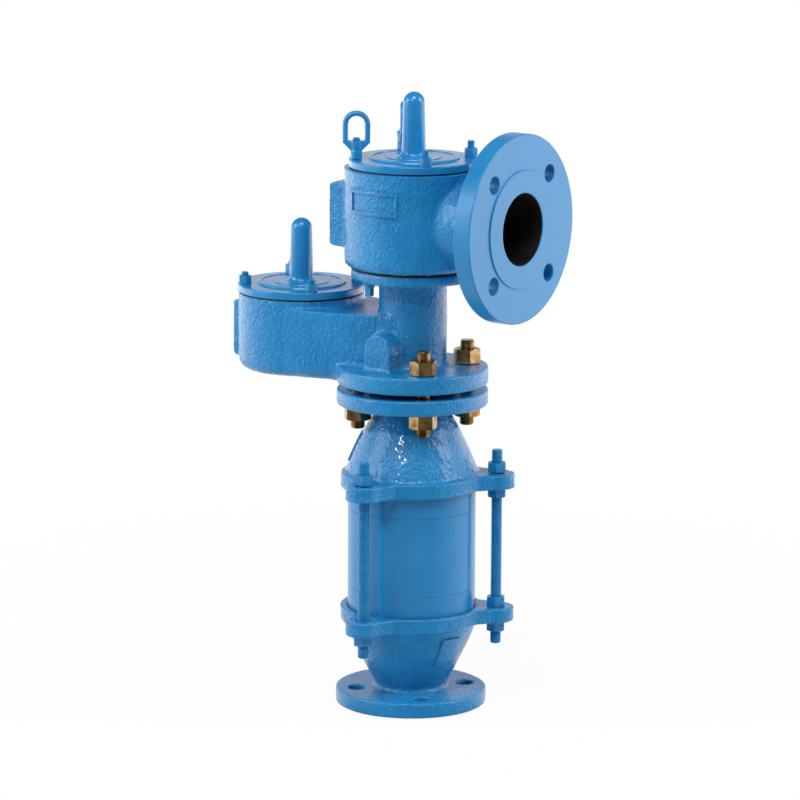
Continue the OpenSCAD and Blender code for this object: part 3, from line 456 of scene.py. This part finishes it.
# %% Metals, gaskets and seals
TURNED_MARKS = (1, 1, 8)
gold_zinc = finish(
    "gold_zinc", ((0.22, 0.115, 0.035), (0.62, 0.43, 0.20)), (0.12, 0.24),
    [(260, 0.12, EVEN), (1200, 0.06, EVEN)], metal=1.0, cloud=110)
stainless = finish(
    "stainless", ((0.46, 0.46, 0.47), (0.56, 0.56, 0.57)), (0.26, 0.38),
    [(300, 0.03, TURNED_MARKS)], metal=1.0, cloud=60)
gasket_fibre = finish(
    "gasket_fibre", ((0.010, 0.011, 0.013), (0.022, 0.024, 0.028)), (0.6, 0.8),
    [(1500, 0.15, EVEN)], cloud=300)
seal_film = finish(
    "seal_film", ((0.70, 0.69, 0.65), (0.78, 0.77, 0.73)), (0.35, 0.5), [(600, 0.03, EVEN)], cloud=80)
print(len(bpy.data.materials), "materials")

# %% [markdown]
# ## Handing a piece over
# A finished piece gets its material, rides on a body of the CAD model and hides the CAD nodes it stands
# for. Only the pallets inside move, and they keep their CAD shape, so every dressed piece rides on the valve
# itself.

# %% Helper that gives a finished piece its material and its body
def mount(piece, material, slot, *replaced):
    if not piece.data.materials:
        piece.data.materials.append(material)
    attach(piece, "valve")
    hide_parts(*replaced)
    print(piece.name, len(piece.data.polygons), "faces")


# %% [markdown]
# ## Castings
# A sand casting has no sharp inner corners: every junction is a fillet and the skin is slightly lumpy. The
# CAD solid has the right shape with crisp corners. A voxel remesh turns it into an even net, a few rounds of
# smoothing melt the corners as a fillet would, and two clouds push the skin in by tenths of a millimetre.
# Machined faces keep their flatness because their points have no weight in the group that is smoothed.

# %% Helper for a cast skin
MOST_TRIANGLES = 190000
INWARDS = 0.95


def clouds(name, size):
    texture = bpy.data.textures.new(name, "CLOUDS")
    texture.noise_scale = size * MM
    texture.noise_depth = 2
    return texture


lumps = clouds("lumps", size=16)
pebbles = clouds("pebbles", size=4)
LUMP_DEPTH = 0.9
PEBBLE_DEPTH = 0.65


def cast_skin(piece, softness, voxel, rounds, relief=1.0):
    finish_with(piece, "REMESH", mode="VOXEL", voxel_size=voxel * MM)
    soft = piece.vertex_groups.new(name="soft")
    for vertex in piece.data.vertices:
        soft.add([vertex.index], softness(vertex.co / MM), "REPLACE")
    finish_with(piece, "SMOOTH", factor=0.5, iterations=2)
    finish_with(piece, "SMOOTH", factor=0.5, iterations=rounds, vertex_group="soft")
    for texture, depth in ((lumps, LUMP_DEPTH), (pebbles, PEBBLE_DEPTH)):
        finish_with(
            piece, "DISPLACE", texture=texture, texture_coords="LOCAL", strength=depth * relief * MM,
            mid_level=INWARDS, vertex_group="soft")
    triangles = 2 * len(piece.data.polygons)
    if triangles > MOST_TRIANGLES:
        finish_with(piece, "DECIMATE", ratio=MOST_TRIANGLES / triangles)
    piece.vertex_groups.clear()
    smooth(piece, degrees=60)


def ramp_up(value, start, end):
    return min(1.0, max(0.0, (value - start) / (end - start)))


# %% Arrester end castings
FLANGE_TOP = 19
PLATE_TOP = 109
ARRESTER_TOP = high_corner("upper_casing").z


def lower_softness(p):
    above_flange = ramp_up(p.z, FLANGE_TOP - 3, FLANGE_TOP + 2)
    below_joint = 1 - ramp_up(p.z, PLATE_TOP - 3, PLATE_TOP)
    return above_flange * below_joint


def upper_softness(p):
    return lower_softness(Vector((p.x, p.y, ARRESTER_TOP - p.z)))


lower_bell = merged_copy("lower_casing", "lower_end_casting")
cast_skin(lower_bell, lower_softness, voxel=1.5, rounds=8)
upper_bell = merged_copy("upper_casing", "upper_end_casting")
cast_skin(upper_bell, upper_softness, voxel=1.5, rounds=8)
print("bells from 0 to", round(ARRESTER_TOP, 1), "mm")

# %% Valve body casting
BODY_FLANGE_TOP = 378
BODY_FLANGE_R = high_corner("valve_body").x
DISC_T = 12
DISC_LOW = high_corner("valve_body").z - DISC_T
CHAMBER_TOP = low_corner("vacuum_lid_gasket").z
CHAMBER_SIDE = -60


def body_softness(p):
    above_flange = ramp_up(p.z, BODY_FLANGE_TOP - 3, BODY_FLANGE_TOP + 2)
    outside_flange = ramp_up(math.hypot(p.x, p.y), BODY_FLANGE_R + 1.5, BODY_FLANGE_R + 5.5)
    below_disc = 1 - ramp_up(p.z, DISC_LOW + 1, DISC_LOW + 4)
    below_rim = 1 - ramp_up(p.z, CHAMBER_TOP - 2, CHAMBER_TOP - 0.5) if p.x < CHAMBER_SIDE else 1
    return max(above_flange, outside_flange) * below_disc * below_rim


body = merged_copy("valve_body", "valve_body_casting")
cast_skin(body, body_softness, voxel=1.7, rounds=9)
mount(body, cast_paint, "casting_blue", "valve_body")

# %% Pressure housing casting
HOUSING_TOP = low_corner("pressure_lid_gasket").z
OUTLET_FACE = high_corner("pressure_housing").x
OUTLET_FLANGE_T = 22
FLANGE_BACK = OUTLET_FACE - OUTLET_FLANGE_T


def housing_softness(p):
    below_rim = 1 - ramp_up(p.z, HOUSING_TOP - 2, HOUSING_TOP - 0.5)
    behind_flange = 1 - ramp_up(p.x, FLANGE_BACK - 2, FLANGE_BACK + 1)
    return below_rim * behind_flange


housing = merged_copy("pressure_housing", "pressure_housing_casting")
cast_skin(housing, housing_softness, voxel=1.6, rounds=9)
print("outlet face at", round(OUTLET_FACE, 1), "mm")

# %% [markdown]
# ## Outlet flange
# The outlet flange was machined all over after casting, so its edges are clean and its face is flat. The
# cast skin is cut off behind it with a bisect, and a turned flange takes its place: its half section is spun
# upright, then tipped over so that its axis lies along the outlet. Four drilled holes get a small chamfer.

# %% Cut the cast skin behind the flange
CUT_X = FLANGE_BACK - 0.3
LAP = 1.3

take(housing)
bpy.ops.object.mode_set(mode="EDIT")
bpy.ops.mesh.select_all(action="SELECT")
bpy.ops.mesh.bisect(plane_co=(CUT_X * MM, 0, 0), plane_no=(1, 0, 0), clear_outer=True)
bpy.ops.mesh.extrude_edges_move(TRANSFORM_OT_translate={"value": (LAP * MM, 0, 0)})
bpy.ops.object.mode_set(mode="OBJECT")
print("skin cut at", round(CUT_X, 1), "mm")

# %% Sizes of the outlet flange
outlet_bolts = mounts["outlet_bolts"]
FACE_FRONT = in_mm(outlet_bolts["pos_m"][0])
OUTLET_Z = in_mm(outlet_bolts["pos_m"][2])
BOLT_CIRCLE_R = outlet_bolts["dims"]["pcd_mm"] / 2
BOLT_HOLE_R = outlet_bolts["dims"]["hole_r_mm"]
OUTLET_BORE = 38.95
BORE_EASE = 0.8
RAISED_R = 63.5
RAISED_EASE = 0.3
RIM_R = 101.98
RIM_EDGE = 1.2
NECK_R = 46
NECK_LOW = FLANGE_BACK - 4
DRILL_Z = (FLANGE_BACK - 8.5, OUTLET_FACE + 4.5)
DRILL_CLEAR = 0.2
HOLE_EASE = 0.6
COUNTERSINK_R = BOLT_HOLE_R + HOLE_EASE + DRILL_CLEAR
print("outlet bolts on a circle of", 2 * BOLT_CIRCLE_R, "mm")

# %% Turned and drilled outlet flange
section = [(OUTLET_BORE, NECK_LOW), (NECK_R, NECK_LOW), (NECK_R, FLANGE_BACK)]
section += arc(RIM_R - RIM_EDGE, FLANGE_BACK + RIM_EDGE, RIM_EDGE, -90, 0)
section += arc(RIM_R - RIM_EDGE, FACE_FRONT - RIM_EDGE, RIM_EDGE, 0, 90)
section += [(RAISED_R + 2 * RAISED_EASE, FACE_FRONT), (RAISED_R, FACE_FRONT + RAISED_EASE)]
section += [(RAISED_R, OUTLET_FACE - RAISED_EASE), (RAISED_R - RAISED_EASE, OUTLET_FACE)]
section += [(OUTLET_BORE + BORE_EASE, OUTLET_FACE), (OUTLET_BORE, OUTLET_FACE - BORE_EASE)]
hole = [(0, DRILL_Z[0]), (BOLT_HOLE_R, DRILL_Z[0]), (BOLT_HOLE_R, FACE_FRONT - HOLE_EASE)]
hole += [(COUNTERSINK_R, FACE_FRONT + DRILL_CLEAR), (COUNTERSINK_R, DRILL_Z[1]), (0, DRILL_Z[1])]
flange = turned("outlet_flange", section, steps=128)
drilled(flange, hole, BOLT_CIRCLE_R, steps=40)
tip = Matrix.Rotation(math.pi / 2, 4, "Y")
flange.data.transform(Matrix.Translation((0, 0, OUTLET_Z * MM)) @ tip)
close_up(flange)
crisp(flange, degrees=40)
print("outlet flange", len(flange.data.polygons), "faces")

# %% Dark insides of the housing, partly painted shade
POT_R = 70
POT_FLOOR = 487
CAST_WALL = 2.5
TURNED_WALL = 0.25


# The pot and bore faces get a near-black colour. On inner walls that light reaches, this is painted shade,
# not the paint of the casting.
def paint_inside(piece, skin, is_inside):
    piece.data.materials.clear()
    piece.data.materials.append(skin)
    piece.data.materials.append(dark_bore_and_shade)
    for polygon in piece.data.polygons:
        polygon.material_index = 1 if is_inside(polygon.center / MM) else 0


def in_outlet(p, wall):
    return p.x > 0 and math.hypot(p.y, p.z - OUTLET_Z) < OUTLET_BORE + wall


def in_housing(p):
    in_pot = math.hypot(p.x, p.y) < POT_R and POT_FLOOR < p.z < HOUSING_TOP - 0.5
    return in_pot or in_outlet(p, CAST_WALL)


paint_inside(flange, flat_paint, lambda p: in_outlet(p, TURNED_WALL))
paint_inside(housing, cast_paint, in_housing)
print("bore of", 2 * OUTLET_BORE, "mm painted dark")

# %% [markdown]
# ## Bare cast frames
# The housing has a raised rectangular frame on its front, and each bell a raised panel. All are plain. A
# block is hollowed or tapered, then trimmed by a turned form that is a little larger than the casting, so
# that its outer face follows the curve. A narrow bevel eases its edges, and it is joined to the casting it
# belongs to.

# %% Helpers for the frames
FRAME_EASE = 0.7


def block(name, low, high):
    deselect()
    bpy.ops.mesh.primitive_cube_add(size=1)
    piece = bpy.context.object
    piece.name = name
    size = Vector(high) - Vector(low)
    middle = (Vector(high) + Vector(low)) / 2
    piece.data.transform(Matrix.Translation(middle * MM) @ Matrix.Diagonal((*(size * MM), 1)))
    return piece


def ease(piece, width, degrees):
    finish_with(
        piece, "BEVEL", width=width * MM, segments=2, limit_method="ANGLE",
        angle_limit=math.radians(degrees))


def eased_frame(piece):
    ease(piece, FRAME_EASE, degrees=40)
    close_up(piece)
    smooth(piece, degrees=50)
    piece.data.materials.append(cast_paint)


# %% Empty frame on the front of the housing
FRAME_X = (-36, 27)
FRAME_Z = (550, 576)
FRAME_Y = (-90, -40)
FRAME_BAND = 3.4
FRAME_R = 76.6
FRAME_DEPTH = 6.6
FRAME_CLEAR = 10

outer_low = (FRAME_X[0], FRAME_Y[0], FRAME_Z[0])
outer_high = (FRAME_X[1], FRAME_Y[1], FRAME_Z[1])
front_frame = block("front_frame", outer_low, outer_high)
inner_low = (FRAME_X[0] + FRAME_BAND, FRAME_Y[0] - FRAME_CLEAR, FRAME_Z[0] + FRAME_BAND)
inner_high = (FRAME_X[1] - FRAME_BAND, FRAME_Y[1] + FRAME_CLEAR, FRAME_Z[1] - FRAME_BAND)
cut_with(front_frame, block("middle", inner_low, inner_high))
curve = [(FRAME_R - FRAME_DEPTH, FRAME_Z[0] - FRAME_CLEAR), (FRAME_R, FRAME_Z[0] - FRAME_CLEAR)]
curve += [(FRAME_R, FRAME_Z[1] + FRAME_CLEAR), (FRAME_R - FRAME_DEPTH, FRAME_Z[1] + FRAME_CLEAR)]
cut_with(front_frame, turned("front_curve", curve, steps=128), "INTERSECT")
eased_frame(front_frame)
housing = joined([housing, front_frame], "pressure_housing_casting")
mount(housing, cast_paint, "casting_blue", "pressure_housing")
mount(flange, flat_paint, "casting_blue", "pressure_housing")

# %% Helpers for a bell's panel
PANEL_Z = (52, 84)
PANEL_X = (30, 90)
PANEL_HALF_WIDTH = 17
PANEL_TAPER = 0.72
PANEL_PROUD = 1.3
PANEL_DEPTH = 4
BELL_LOW = 24
BELL_HEIGHT = 69.5
BELL_NECK_R = 40
BELL_FLARE = 33
BELL_BULGE = 0.2
CURVE_Z = (45, 90)
CURVE_STEPS = 18


def bell_radius(z):
    t = (z - BELL_LOW) / BELL_HEIGHT
    return BELL_NECK_R + BELL_FLARE * ((1 + BELL_BULGE) * t - BELL_BULGE * t * t)


def bell_panel(angle):
    low = (PANEL_X[0], -PANEL_HALF_WIDTH, PANEL_Z[0])
    high = (PANEL_X[1], PANEL_HALF_WIDTH, PANEL_Z[1])
    piece = block("bell_panel", low, high)
    for vertex in piece.data.vertices:
        vertex.select = vertex.co.z < sum(PANEL_Z) / 2 * MM
    bpy.ops.object.mode_set(mode="EDIT")
    bpy.ops.mesh.select_mode(type="VERT")
    bpy.ops.transform.resize(value=(1, PANEL_TAPER, 1))
    bpy.ops.object.mode_set(mode="OBJECT")
    piece.data.transform(Matrix.Rotation(math.radians(angle), 4, "Z"))
    heights = np.linspace(*CURVE_Z, CURVE_STEPS + 1).tolist()
    outside = [(bell_radius(z) + PANEL_PROUD, z) for z in heights]
    inside = [(bell_radius(z) - PANEL_DEPTH, z) for z in reversed(heights)]
    cut_with(piece, turned("bell_curve", outside + inside, steps=128), "INTERSECT")
    eased_frame(piece)
    return piece


# %% Empty panels on the two bells
LOWER_PANEL_ANGLE = -16
UPPER_PANEL_ANGLE = 158
turned_over = Matrix.Translation((0, 0, ARRESTER_TOP * MM)) @ Matrix.Rotation(math.pi, 4, "X")
lower_panel = bell_panel(LOWER_PANEL_ANGLE)
upper_panel = bell_panel(UPPER_PANEL_ANGLE)
upper_panel.data.transform(turned_over)
for bell, panel in ((lower_bell, lower_panel), (upper_bell, upper_panel)):
    bell.data.materials.append(cast_paint)
    joined([bell, panel], bell.name)
mount(lower_bell, cast_paint, "casting_blue", "lower_casing")
mount(upper_bell, cast_paint, "casting_blue", "upper_casing")

# %% [markdown]
# ## Lids
# Each lid is a turned disc with a raised middle and a hollow finger that guides the pallet's stem. It could
# be carved from a cylinder, but a half section with arcs gives every rounding in one spin. Its heights count
# from the gasket's top. Four holes let the studs through.

# %% Sizes of a lid
LID_R = 70.3
LID_T = 8
LID_EDGE = 1.5
FOOT_EDGE = 0.4
SPIGOT_R = 55.8
SPIGOT_H = 2
MIDDLE_R = 49.5
MIDDLE_TOP = 10
MIDDLE_FILLET = 1.2
MIDDLE_EDGE = 1.1
MIDDLE_DRAFT = 0.3
BEAD_RADII = (44.8, 30.6)
BEAD_R = 0.6
BEAD_FOOT = 0.8
BEAD_Z = MIDDLE_TOP - 0.2
RECESS_Z = MIDDLE_TOP - 0.4
POST_FILLET = 6
POST_FOOT_R = 19.2
POST_R = 11.8
POST_DOME_Z = 68.2
STEM_BORE = 6.5
BUSH_BORE = 8.05
BOSS_R = 14
BOSS_DEPTH = 14
print("lid of", 2 * LID_R, "mm with a post up to", POST_DOME_Z + POST_R, "mm")

# %% Half section of a lid
lid_section = [(BUSH_BORE, -BOSS_DEPTH), (BOSS_R, -BOSS_DEPTH), (BOSS_R, -SPIGOT_H)]
lid_section += [(SPIGOT_R, -SPIGOT_H), (SPIGOT_R, 0)]
lid_section += arc(LID_R - FOOT_EDGE, FOOT_EDGE, FOOT_EDGE, -90, 0, steps=2)
lid_section += arc(LID_R - LID_EDGE, LID_T - LID_EDGE, LID_EDGE, 0, 90)
lid_section += arc(MIDDLE_R + MIDDLE_FILLET, LID_T + MIDDLE_FILLET, MIDDLE_FILLET, 270, 200, steps=4)
middle_edge_r = MIDDLE_R - MIDDLE_EDGE - MIDDLE_DRAFT
lid_section += arc(middle_edge_r, MIDDLE_TOP - MIDDLE_EDGE, MIDDLE_EDGE, 20, 90, steps=4)
lid_section += [(BEAD_RADII[0] + BEAD_FOOT, MIDDLE_TOP)]
lid_section += arc(BEAD_RADII[0], BEAD_Z, BEAD_R, 60, 180, steps=3)
lid_section += [(BEAD_RADII[0] - BEAD_R, RECESS_Z), (BEAD_RADII[1] + BEAD_FOOT, RECESS_Z)]
lid_section += arc(BEAD_RADII[1], BEAD_Z, BEAD_R, 0, 120, steps=3)
lid_section += arc(POST_FOOT_R, MIDDLE_TOP + POST_FILLET, POST_FILLET, 270, 184, steps=8)
lid_section += arc(0, POST_DOME_Z, POST_R, 4, 90, steps=12)
lid_section += [(0, POST_DOME_Z), (STEM_BORE, POST_DOME_Z), (STEM_BORE, LID_T), (BUSH_BORE, LID_T)]
print("lid section of", len(lid_section), "corners")

# %% Turned lids with their guide posts
LID_STUD_CIRCLE = 62.8
LID_HOLE_R = 4.5
LID_DRILL_Z = (-5, LID_T + 4)


def lid(node, name):
    piece = turned(name, lid_section, steps=128)
    drilled(piece, bar_section(LID_HOLE_R, *LID_DRILL_Z, point=0.2), LID_STUD_CIRCLE, steps=32)
    axis_x = (low_corner(node).x + high_corner(node).x) / 2
    gasket_top = high_corner(node + "_gasket").z
    piece.data.transform(Matrix.Translation((axis_x * MM, 0, gasket_top * MM)))
    close_up(piece)
    crisp(piece, degrees=40)
    mount(piece, lid_paint, "casting_blue", node)


lid("pressure_lid", "pressure_side_lid")
lid("vacuum_lid", "vacuum_side_lid")

# %% [markdown]
# ## Lifting eyes
# Two of the lid nuts are forged eyes for lifting the valve. A forging has no edges at all, so the CAD solid
# is remeshed finely and smoothed all over.

# %% Forged lifting eyes
eyes = merged_copy("eye_nuts", "lifting_eyes")
cast_skin(eyes, lambda p: 1.0, voxel=0.7, rounds=10, relief=0.2)
mount(eyes, bolt_paint, "casting_blue", "eye_nuts")

# %% [markdown]
# ## Element housing
# The flame element sits in a turned shell between two spacer rings. They are flush, so the seams show only
# as fine dark lines, which come from the small chamfer on each edge. Each ring has a seat for a grid.

# %% Turned shell and spacer rings
SHELL_R = 69.8
SHELL_BORE = 62
RING_BORE = 53
SEAM = 0.45
SHELL_Z = (low_corner("element_housing").z, high_corner("element_housing").z)
RING_ENDS = (low_corner("lower_spacer_ring").z, high_corner("upper_spacer_ring").z)
GRID_SEATS = (low_corner("lower_support_grid").z, high_corner("upper_support_grid").z)


def chamfered_wall(low, high):
    return [(SHELL_R - SEAM, low), (SHELL_R, low + SEAM), (SHELL_R, high - SEAM), (SHELL_R - SEAM, high)]


def turned_ring(node, name, inside, low, high):
    piece = turned(name, chamfered_wall(low, high) + inside, steps=160)
    smooth(piece, degrees=30)
    mount(piece, shell_paint, "shell_blue", node)


shell_bore = [(SHELL_BORE, SHELL_Z[1]), (SHELL_BORE, SHELL_Z[0])]
lower_bore = [(SHELL_BORE, SHELL_Z[0]), (SHELL_BORE, GRID_SEATS[0])]
lower_bore += [(RING_BORE, GRID_SEATS[0]), (RING_BORE, RING_ENDS[0])]
upper_bore = [(RING_BORE, RING_ENDS[1]), (RING_BORE, GRID_SEATS[1])]
upper_bore += [(SHELL_BORE, GRID_SEATS[1]), (SHELL_BORE, SHELL_Z[1])]
turned_ring("element_housing", "element_shell", shell_bore, *SHELL_Z)
turned_ring("lower_spacer_ring", "lower_ring", lower_bore, RING_ENDS[0], SHELL_Z[0])
turned_ring("upper_spacer_ring", "upper_ring", upper_bore, SHELL_Z[1], RING_ENDS[1])

# %% [markdown]
# ## Fasteners
# Every stud and rod gets a wound thread and every nut its chamfers. Each kind is modelled once at the origin
# and copied to the places that the CAD solids give, with the same turn as there. The rods and studs are half
# inch, five eighths and 8 mm, each with its usual pitch.

# %% Helper for a set of threaded bars
def threaded_set(node, name, r, pitch, point, material, slot):
    models = {}
    pieces = []
    for spot in solids(node):
        length = round((spot["high"] - spot["low"]) / MM, 2)
        if length not in models:
            models[length] = threaded_bar("thread", r, pitch, length, point)
        copy = bpy.data.objects.new(name, models[length].data.copy())
        bpy.context.scene.collection.objects.link(copy)
        copy.data.transform(Matrix.Translation((spot["x"], spot["y"], spot["low"])))
        pieces.append(copy)
    for model in models.values():
        bpy.data.objects.remove(model)
    piece = joined(pieces, name)
    smooth(piece, degrees=30)
    mount(piece, material, slot, node)


# %% Tie rods and studs
HALF_INCH = {"r": 6, "pitch": 1.954, "point": 1.2}
FIVE_EIGHTHS = {"r": 7.95, "pitch": 2.3, "point": 1.6}
EIGHT_MM = {"r": 4, "pitch": 1.25, "point": 0.8}
PAINTED = {"material": bolt_paint, "slot": "fastener_blue"}
PLATED = {"material": gold_zinc, "slot": "yellow_zinc"}

threaded_set("tie_rods", "threaded_tie_rods", **HALF_INCH, **PAINTED)
threaded_set("flange_studs", "threaded_flange_studs", **FIVE_EIGHTHS, **PLATED)
threaded_set("pressure_lid_studs", "pressure_side_studs", **EIGHT_MM, **PAINTED)
threaded_set("vacuum_lid_studs", "vacuum_side_studs", **EIGHT_MM, **PAINTED)


# %% Nuts
def nut_set(node, name, across, height, bore, material, slot):
    piece = placed(hex_nut("nut", across, height, bore), solids(node), name)
    crisp(piece, degrees=30)
    mount(piece, material, slot, node)


ROD_NUT = {"across": 19, "height": 10.8, "bore": 6.1}
FLANGE_NUT = {"across": 27, "height": 15.9, "bore": 8.05}
LID_NUT = {"across": 13, "height": 8, "bore": 4.1}

nut_set("tie_rod_nuts", "rod_nuts", **ROD_NUT, **PAINTED)
nut_set("jack_nuts", "jacking_nuts", **ROD_NUT, **PAINTED)
nut_set("flange_nuts", "joint_nuts", **FLANGE_NUT, **PLATED)
nut_set("pressure_lid_nuts", "pressure_side_nuts", **LID_NUT, **PAINTED)
nut_set("vacuum_lid_nuts", "vacuum_side_nuts", **LID_NUT, **PAINTED)

# %% Washers under the lid nuts
WASHER_R = 6.89
WASHER_FACE_R = 6.6
WASHER_BORE = 4.3
WASHER_T = 1.6
WASHER_EDGE = 0.3
washer_section = [
    (WASHER_BORE, 0), (WASHER_FACE_R, 0), (WASHER_R, WASHER_EDGE),
    (WASHER_R, WASHER_T - WASHER_EDGE), (WASHER_FACE_R, WASHER_T), (WASHER_BORE, WASHER_T),
]


def washer_set(node, name):
    piece = placed(turned("washer", washer_section, steps=40), solids(node), name)
    crisp(piece, degrees=30)
    mount(piece, bolt_paint, "fastener_blue", node)


washer_set("pressure_lid_washers", "pressure_side_washers")
washer_set("vacuum_lid_washers", "vacuum_side_washers")

# %% [markdown]
# ## Drain plug
# Under the disc hangs a small plug with a square head. Its CAD solid is right apart from its knife edges, so
# a copy of it gets a narrow Bevel modifier.

# %% Plug with eased edges
PLUG_EASE = 0.5
plug = merged_copy("drain_plug", "square_headed_plug")
ease(plug, PLUG_EASE, degrees=50)
crisp(plug, degrees=40)
mount(plug, bolt_paint, "fastener_blue", "drain_plug")

# %% [markdown]
# ## Pieces that keep their CAD shape
# Gaskets, the screen and everything inside the valve are plain turned or flat pieces, so their CAD meshes
# stay and only their material slots change.

# %% Materials for the CAD nodes that stay
def finish_of(name):
    if name == "screen_retainer":
        return bolt_paint
    if "gasket" in name:
        return gasket_fibre
    if name.endswith("pallet_seal") or "bush" in name:
        return seal_film
    return stainless


staying = [name for name, node in nodes.items() if not node.hide_render]
for name in staying:
    for slot in nodes[name].material_slots:
        slot.material = finish_of(name)
print(len(staying), "nodes keep their CAD shape")

# %% [markdown]
# ## Floor, light and background
# The photograph has a pure white ground. The floor is white to the camera, and an ordinary pale floor to all
# diffuse light, so it keeps the valve's soft shadow. In the gloss of the paint it is white to the sides and
# grey towards the camera, because in a studio the floor in front of the product lies in the dark. Two soft
# boxes stand left and right, one hangs in front of the valve and above it, low cards brighten the flanks and
# the back, and a small lamp draws the sharp glints on the cast skin.

# %% Floor
FLOOR_Z = -0.0003
FLOOR_SIZE = 80
deselect()
bpy.ops.mesh.primitive_plane_add(size=FLOOR_SIZE, location=(0, 0, FLOOR_Z))
floor = bpy.context.object
floor.name = "studio_floor"
settle(floor)
print("floor of", FLOOR_SIZE, "m")


# %% Helpers for the nodes of the floor
def combined(tree, operation, first, second):
    node = tree.nodes.new("ShaderNodeMath")
    node.operation = operation
    tree.links.new(first, node.inputs[0])
    tree.links.new(second, node.inputs[1])
    return node.outputs["Value"]


def vector_step(tree, operation, vector):
    node = tree.nodes.new("ShaderNodeVectorMath")
    node.operation = operation
    tree.links.new(vector, node.inputs[0])
    return node


# %% Pale floor and white glow
FLOOR_PAINT = (0.86, 0.86, 0.86, 1)
FLOOR_ROUGH = 0.9

white_floor = bpy.data.materials.new("studio_white")
white_floor.use_nodes = True
tree = white_floor.node_tree
pale = tree.nodes["Principled BSDF"]
pale.inputs["Base Color"].default_value = FLOOR_PAINT
pale.inputs["Roughness"].default_value = FLOOR_ROUGH
glow = tree.nodes.new("ShaderNodeEmission")
glow.inputs["Color"].default_value = (1, 1, 1, 1)
ray = tree.nodes.new("ShaderNodeLightPath").outputs
spot = tree.nodes.new("ShaderNodeTexCoord").outputs["Object"]
print("floor paint", FLOOR_PAINT)

# %% White to the sides and grey in front, in the gloss
FRONTAL_SHARE = (0.8, 0.1)
REFLECTED = (0.2, 1.0)
frontal = vector_step(tree, "DOT_PRODUCT", vector_step(tree, "NORMALIZE", spot).outputs["Vector"])
frontal.inputs[1].default_value = (math.sin(AZIMUTH), -math.cos(AZIMUTH), 0)
reflected = ranged(tree, frontal.outputs["Value"], FRONTAL_SHARE, REFLECTED)
tree.links.new(combined(tree, "MAXIMUM", reflected, ray["Is Camera Ray"]), glow.inputs["Strength"])
print("reflected strength", REFLECTED)

# %% White to the camera, with a soft shadow
SHADOW_RADII = (0.3, 1.2)
WHITE_SHARE = (0.93, 1.0)
fade = ranged(tree, vector_step(tree, "LENGTH", spot).outputs["Value"], SHADOW_RADII, WHITE_SHARE)
to_camera = combined(tree, "MULTIPLY", ray["Is Camera Ray"], fade)
mirrored = combined(tree, "MAXIMUM", ray["Is Transmission Ray"], ray["Is Glossy Ray"])
mixed = tree.nodes.new("ShaderNodeMixShader")
tree.links.new(combined(tree, "MAXIMUM", to_camera, mirrored), mixed.inputs["Fac"])
tree.links.new(pale.outputs["BSDF"], mixed.inputs[1])
tree.links.new(glow.outputs["Emission"], mixed.inputs[2])
tree.links.new(mixed.outputs["Shader"], tree.nodes["Material Output"].inputs["Surface"])
floor.data.materials.append(white_floor)
print(len(tree.nodes), "nodes in the floor's material")

# %% Helpers for soft boxes
AIM = Vector((0, 0, 0.33))


def soft_box(name, place, size, power):
    lamp = bpy.data.lights.new(name, "AREA")
    lamp.shape = "RECTANGLE"
    lamp.size = size[0]
    lamp.size_y = size[1]
    lamp.energy = power
    box = bpy.data.objects.new(name, lamp)
    box.visible_camera = False
    bpy.context.scene.collection.objects.link(box)
    towards = (AIM - place).to_track_quat("-Z", "Y").to_matrix().to_4x4()
    box.matrix_world = Matrix.Translation(place) @ towards


def around_camera(degrees, distance, height):
    a = AZIMUTH + math.radians(degrees)
    return Vector((distance * math.sin(a), -distance * math.cos(a), height))


# %% Soft boxes
soft_box("left_key", around_camera(-80, distance=1.6, height=1.1), size=(1.0, 1.2), power=17)
soft_box("right_key", around_camera(80, distance=1.6, height=1.4), size=(1.0, 1.0), power=20)
soft_box("left_card", around_camera(-124, distance=1.6, height=0.4), size=(1.6, 0.8), power=4)
soft_box("right_card", around_camera(114, distance=1.6, height=0.45), size=(2.4, 0.9), power=8.5)
soft_box("back_card", around_camera(180, distance=2.0, height=0.8), size=(3.0, 1.5), power=8)
soft_box("top_soft_box", around_camera(-5, distance=1.0, height=2.2), size=(1.0, 0.8), power=18)
soft_box("small_lamp", around_camera(-28, distance=1.7, height=1.7), size=(0.16, 0.16), power=9)
print(len(bpy.data.lights), "lights")

# %% World
AMBIENT = 0.08
AMBIENT_TINT = (0.95, 0.97, 1.0, 1)
SEEN_STRENGTH = {"Is Glossy Ray": 0.12, "Is Transmission Ray": 1, "Is Camera Ray": 1}
world = bpy.data.worlds.new("studio")
bpy.context.scene.world = world
world.use_nodes = True
tree = world.node_tree
tree.nodes["Background"].inputs["Color"].default_value = AMBIENT_TINT
tree.nodes["Background"].inputs["Strength"].default_value = AMBIENT
ray = tree.nodes.new("ShaderNodeLightPath").outputs
lit = tree.nodes["Background"].outputs["Background"]
for kind, strength in SEEN_STRENGTH.items():
    white = tree.nodes.new("ShaderNodeBackground")
    white.inputs["Color"].default_value = (1, 1, 1, 1)
    white.inputs["Strength"].default_value = strength
    mixed = tree.nodes.new("ShaderNodeMixShader")
    tree.links.new(ray[kind], mixed.inputs["Fac"])
    tree.links.new(lit, mixed.inputs[1])
    tree.links.new(white.outputs["Background"], mixed.inputs[2])
    lit = mixed.outputs["Shader"]
tree.links.new(lit, tree.nodes["World Output"].inputs["Surface"])
bpy.context.scene.view_settings.view_transform = "Standard"
print("ambient", AMBIENT)

# %% [markdown]
# ## The last step
# A dressed model that has grown past the CAD model would no longer fit its neighbours. The script ends by
# deselecting everything.

# %% Deselect everything
deselect()
